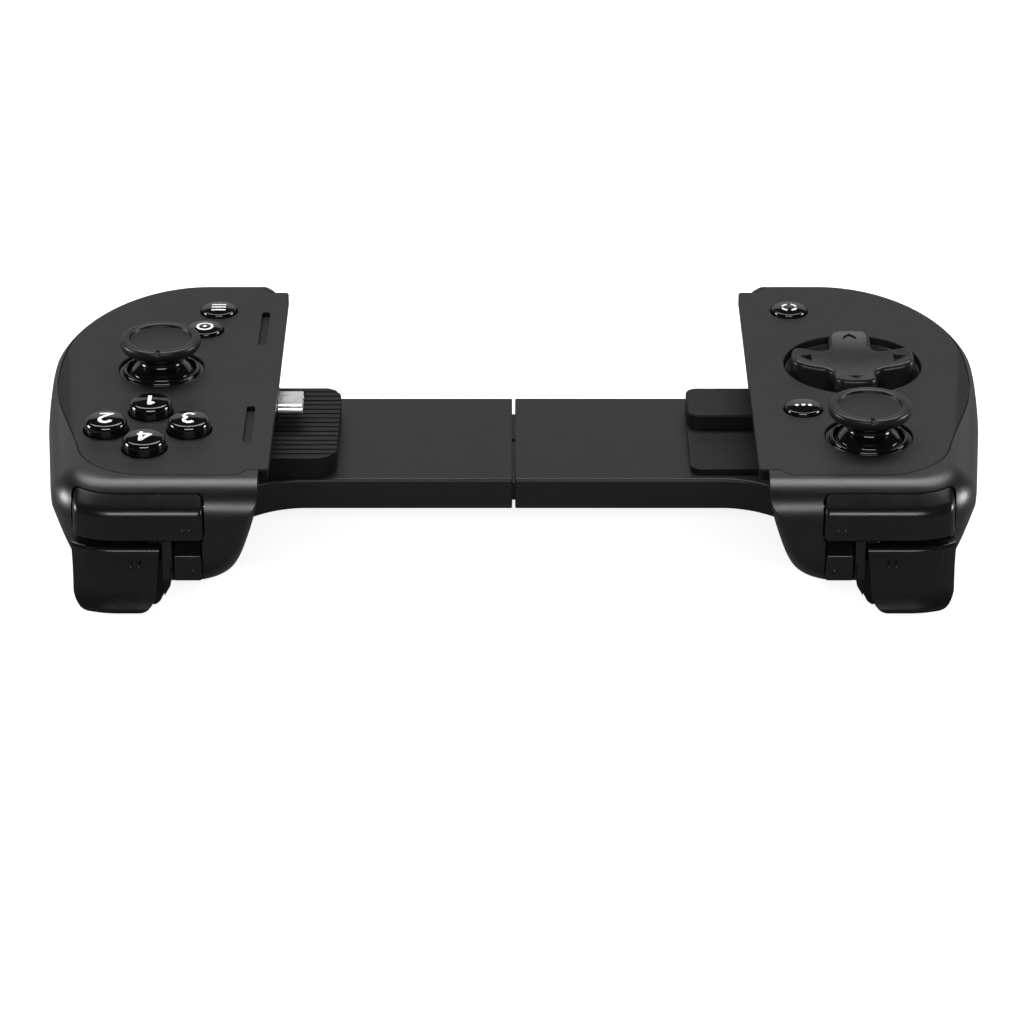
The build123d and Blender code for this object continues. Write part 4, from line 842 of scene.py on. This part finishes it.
def cross_distance(x, y):
    """Distance to the edge of the cross in plan: each arm ends on the same circle."""
    end = np.hypot(x, y) - ARM_END
    bars = [inside_both(np.abs(side) - ARM_HALF, end, TIP_R) for side in (x, y)]
    return inside_either(bars[0], bars[1], CROOK_R)


print("from the middle to the nearest edge:", round(-float(cross_distance(0.0, 0.0)), 2), "mm")

# %% Top of the cross
PAD_RISE = 2.3
PAD_HOLLOW_R = 43.0
PAD_HOLLOW = 1.7
PAD_EDGE_R = 1.15
DENT_DEPTH = 0.85
DENT_BLUR = 0.28
ARROW_BASE = 8.6
ARROW_TIP = 11.1
ARROW_SLOPE = 0.62
CHEVRON_AT = 10.4
CHEVRON_SLOPE = 0.75
CHEVRON_REACH = 1.35
CHEVRON_HALF = 0.30
CHEVRON_DEPTH = 0.40
CHEVRON_BLUR = 0.14
END_BLUR = 0.1


def smooth_step(value):
    """3 v^2 - 2 v^3, with v held between 0 and 1."""
    value = np.clip(value, 0, 1)
    return value * value * (3 - 2 * value)


def arrow_depth(along, across):
    """Depth of a triangular dent that points outwards: full inside three slanted sides."""
    tip = ARROW_SLOPE * (ARROW_TIP - along) - np.abs(across)
    base = along - ARROW_BASE
    return DENT_DEPTH * smooth_step(np.minimum(tip, base) / DENT_BLUR + 0.5)


def chevron_depth(along, across):
    """Depth of an engraved line in the form of a roof: near a slanted line on both sides. What is
    measured along the arm is divided by the hypotenuse, which gives the distance from that line."""
    offset = along - CHEVRON_AT + CHEVRON_SLOPE * np.abs(across)
    from_line = np.abs(offset) / np.hypot(1, CHEVRON_SLOPE)
    line = smooth_step((CHEVRON_HALF - from_line) / CHEVRON_BLUR + 0.5)
    within = smooth_step((CHEVRON_REACH - np.abs(across)) / END_BLUR + 0.5)
    return CHEVRON_DEPTH * line * within


def pad_height(x, y):
    """Height of the pad's top: a hollow ball face, less the round edge, less dents and chevron."""
    from_edge = np.maximum(-cross_distance(x, y), 0)
    hollow = PAD_RISE - PAD_HOLLOW + (x * x + y * y) / (2 * PAD_HOLLOW_R)
    short = np.maximum(PAD_EDGE_R - from_edge, 0)
    edge = PAD_EDGE_R - np.sqrt(np.maximum(PAD_EDGE_R ** 2 - short ** 2, 0))
    dents = arrow_depth(x, y) + arrow_depth(-x, y) + arrow_depth(-y, x) + chevron_depth(y, x)
    return np.minimum(hollow, PAD_RISE) - edge - dents


print("hollow at the middle:", round(PAD_RISE - float(pad_height(0.0, 0.0)), 2), "mm")

# %% Pad and bowl
RAYS = 640
RINGS = 110
HALVINGS = 40
CROWDING = 0.8
PAD_FOOT = -4.0
CARRIER_R = 15.2
CARRIER_T = 0.9
BALL_AT = -5.6
SOCKET_R = 1.72
SOCKET_DEG = 66


def pad_grid():
    """Rays from the middle to the outline, which halving finds, their points closer together near it;
    then the side, the carrier and the hollow for the ball."""
    angle = np.linspace(0, 2 * np.pi, RAYS, endpoint=False)
    near, far = np.zeros(RAYS), np.full(RAYS, ARM_END + 1)
    for _ in range(HALVINGS):
        middle = (near + far) / 2
        within = cross_distance(middle * np.cos(angle), middle * np.sin(angle)) < 0
        near, far = np.where(within, middle, near), np.where(within, far, middle)
    share = np.linspace(0, 1, RINGS) ** CROWDING
    radius = share[:, None] * near[None, :]
    x, y = radius * np.cos(angle), radius * np.sin(angle)
    top = np.stack([x, y, pad_height(x, y)], -1)
    foot = top[-1:].copy()
    foot[..., 2] = PAD_FOOT
    angle = np.radians(np.linspace(SOCKET_DEG, 0, 12))
    socket = np.stack([SOCKET_R * np.sin(angle), BALL_AT + SOCKET_R * np.cos(angle)], -1)
    edge = [(CARRIER_R, PAD_FOOT), (CARRIER_R, PAD_FOOT - CARRIER_T)]
    return np.concatenate([top, foot, turned(np.vstack([edge, socket]), (0, 0, 0), RAYS)])


name = "left_dpad"
at = centre(name)
pad = grid_piece(name + "_cross", [pad_grid() + at], "cross", name, [name])
bowl = rounded([(3.2, -3.95), (8.5, -3.80), (12.6, -2.9), (13.75, -1.5), (13.95, -1.5), (13.95, -3.98),
                (3.2, -3.98), (3.2, -3.95)], [2.0, 2.0, 0.6, 0.05, 0.05, 0.05, 0.05], 10)
grid_piece(name + "_bowl", [turned(bowl, at)], "skirt", name)
print("direction pad, faces:", len(pad.data.polygons))

# %% [markdown]
# ## Bumpers
#
# A bumper follows the shoulder, straight at first and then round the corner. Its brow slopes down to
# a well rounded edge, which draws one bright line, and both its ends are rounded too. It could be a box
# with bevels, but then its brow would not follow the corner. So it is one side profile carried along the
# shoulder, a grid of two parameters.

# %% Bumper
CORNER_U = 77.5
CORNER_Y = 4.0
BUMPER_IN = 60.5
BUMPER_OUT = 86.2
BUMPER_FRONT = 11.2
FRONT_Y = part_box("left_bumper")[0].y / MM + BUMPER_FRONT
END_R = 1.2
STEEPEST = 0.995
BUMPER_SIDE = rounded([(-5.4, -4.1), (-7.3, -4.1), (-7.3, -1.72), (-11.12, -4.05), (-11.12, -10.35),
                       (-5.4, -10.35), (-5.4, -4.1)], [0.05, 0.15, 1.7, 0.7, 0.1], 12)


def bumper_grid(sign):
    """Station i of the side profile: straight along X up to the corner, then X = corner + rho sin t and
    Y = corner - rho cos t, with rho the profile's own distance and sin t kept under 1. Near both ends
    the profile shrinks towards its middle as a quarter circle does."""
    middle = BUMPER_SIDE.mean(0)
    run = BUMPER_OUT - BUMPER_IN
    bend = np.linspace(0, END_R, 10)
    reach = np.concatenate([bend, np.linspace(END_R, run - END_R, 60)[1:], run - bend[::-1]])
    from_end = np.minimum(np.minimum(reach, run - reach), END_R)
    shrink = END_R - np.sqrt(np.maximum(END_R ** 2 - (END_R - from_end) ** 2, 0))
    out = BUMPER_SIDE - middle
    size = np.linalg.norm(out, axis=1)[:, None]
    sides = middle + out[None] * (1 - shrink[:, None, None] / np.maximum(size, 0.1)[None])
    rho = CORNER_Y - sides[..., 0]
    along = BUMPER_IN + reach[:, None]
    past = np.clip(along - CORNER_U, 0, None)
    lean = np.clip(past / rho, 0, STEEPEST)
    y = np.where(past > 0, CORNER_Y - rho * np.sqrt(1 - lean ** 2), sides[..., 0])
    x = np.broadcast_to(sign * along, y.shape)
    grid = np.stack([x, y + FRONT_Y, sides[..., 1] + FACE_TOP], -1)
    ends = [np.repeat(grid[end].mean(0)[None, None], grid.shape[1], 1) for end in (0, -1)]
    return np.concatenate([ends[0], grid, ends[1]])


for side, sign in (("left", 1), ("right", -1)):
    name = side + "_bumper"
    grid_piece(name + "_shell", [bumper_grid(sign)], "trigger", name, [name])
print("bumper ends rounded by", END_R, "mm")

# %% [markdown]
# ## Softer edges
#
# No moulded edge is sharp: each has a radius of a few tenths of a millimetre, and on black plastic
# that radius is what catches the light. Triggers, shoulder buttons, docking pads and bridge halves keep
# their CAD shape. A copy of each is merged, its flat faces are joined, and a live Bevel rounds its edges.

# %% Soft edges
BEVEL_FROM_DEG = 28.0
BEVEL_SEGMENTS = 3
FLAT_DEG = 0.5
MERGE_AT = 2e-6


def softened(name, width):
    """A copy of a node with its loose triangles merged and flat faces joined, under a live Bevel."""
    mesh = nodes[name].data.copy()
    mesh.name = name + "_soft"
    tidy(mesh, MERGE_AT, FLAT_DEG)
    slot = slot_of[name]
    made = add_piece(name + "_soft", mesh, SLOT_FINISH[slot], body_of[name], [name])
    bevel = made.modifiers.new("edge", "BEVEL")
    bevel.width = width * MM
    bevel.segments = BEVEL_SEGMENTS
    bevel.limit_method = "ANGLE"
    bevel.angle_limit = radians(BEVEL_FROM_DEG)
    bevel.harden_normals = True
    return made


EDGES_MM = {"trigger": 0.65, "shoulder_key": 0.55, "phone_pad": 0.35, "bridge_sleeve": 0.45}
for part, width in EDGES_MM.items():
    for side in ("left", "right"):
        made = softened(f"{side}_{part}", width)
        print(made.name, len(made.data.polygons), "faces")

# %% [markdown]
# ## Raised dots
#
# A finger finds its button without looking, by small domes on the shoulder parts. They are turned
# like the prints' dots and then laid on the upright faces: what was height becomes distance in front
# of the face.

# %% Dots
DOT_DOME = [(0, 0.16), (0.20, 0.13), (0.34, 0.05), (0.38, -0.25), (0, -0.25)]
DOTS_AT = {
    "bumper": [(63.2, -11.12, -8.0), (64.6, -11.12, -8.0)],
    "trigger": [(73.2, -12.58, -15.2), (74.7, -12.58, -15.2)],
    "shoulder_key": [(62.8, -10.0, -17.4)],
}
for side, sign in (("left", 1), ("right", -1)):
    for part, places in DOTS_AT.items():
        domes = []
        for across, front, height in places:
            dome = turned(DOT_DOME, (0, 0, 0), 20)
            upright = np.stack([dome[..., 0], -dome[..., 2], dome[..., 1]], -1)
            domes.append(upright + np.array([sign * across, FRONT_Y + front, FACE_TOP + height]))
        grid_piece(f"{side}_{part}_dots", domes, "trigger", f"{side}_{part}")
print("shoulder parts with dots:", 2 * len(DOTS_AT))
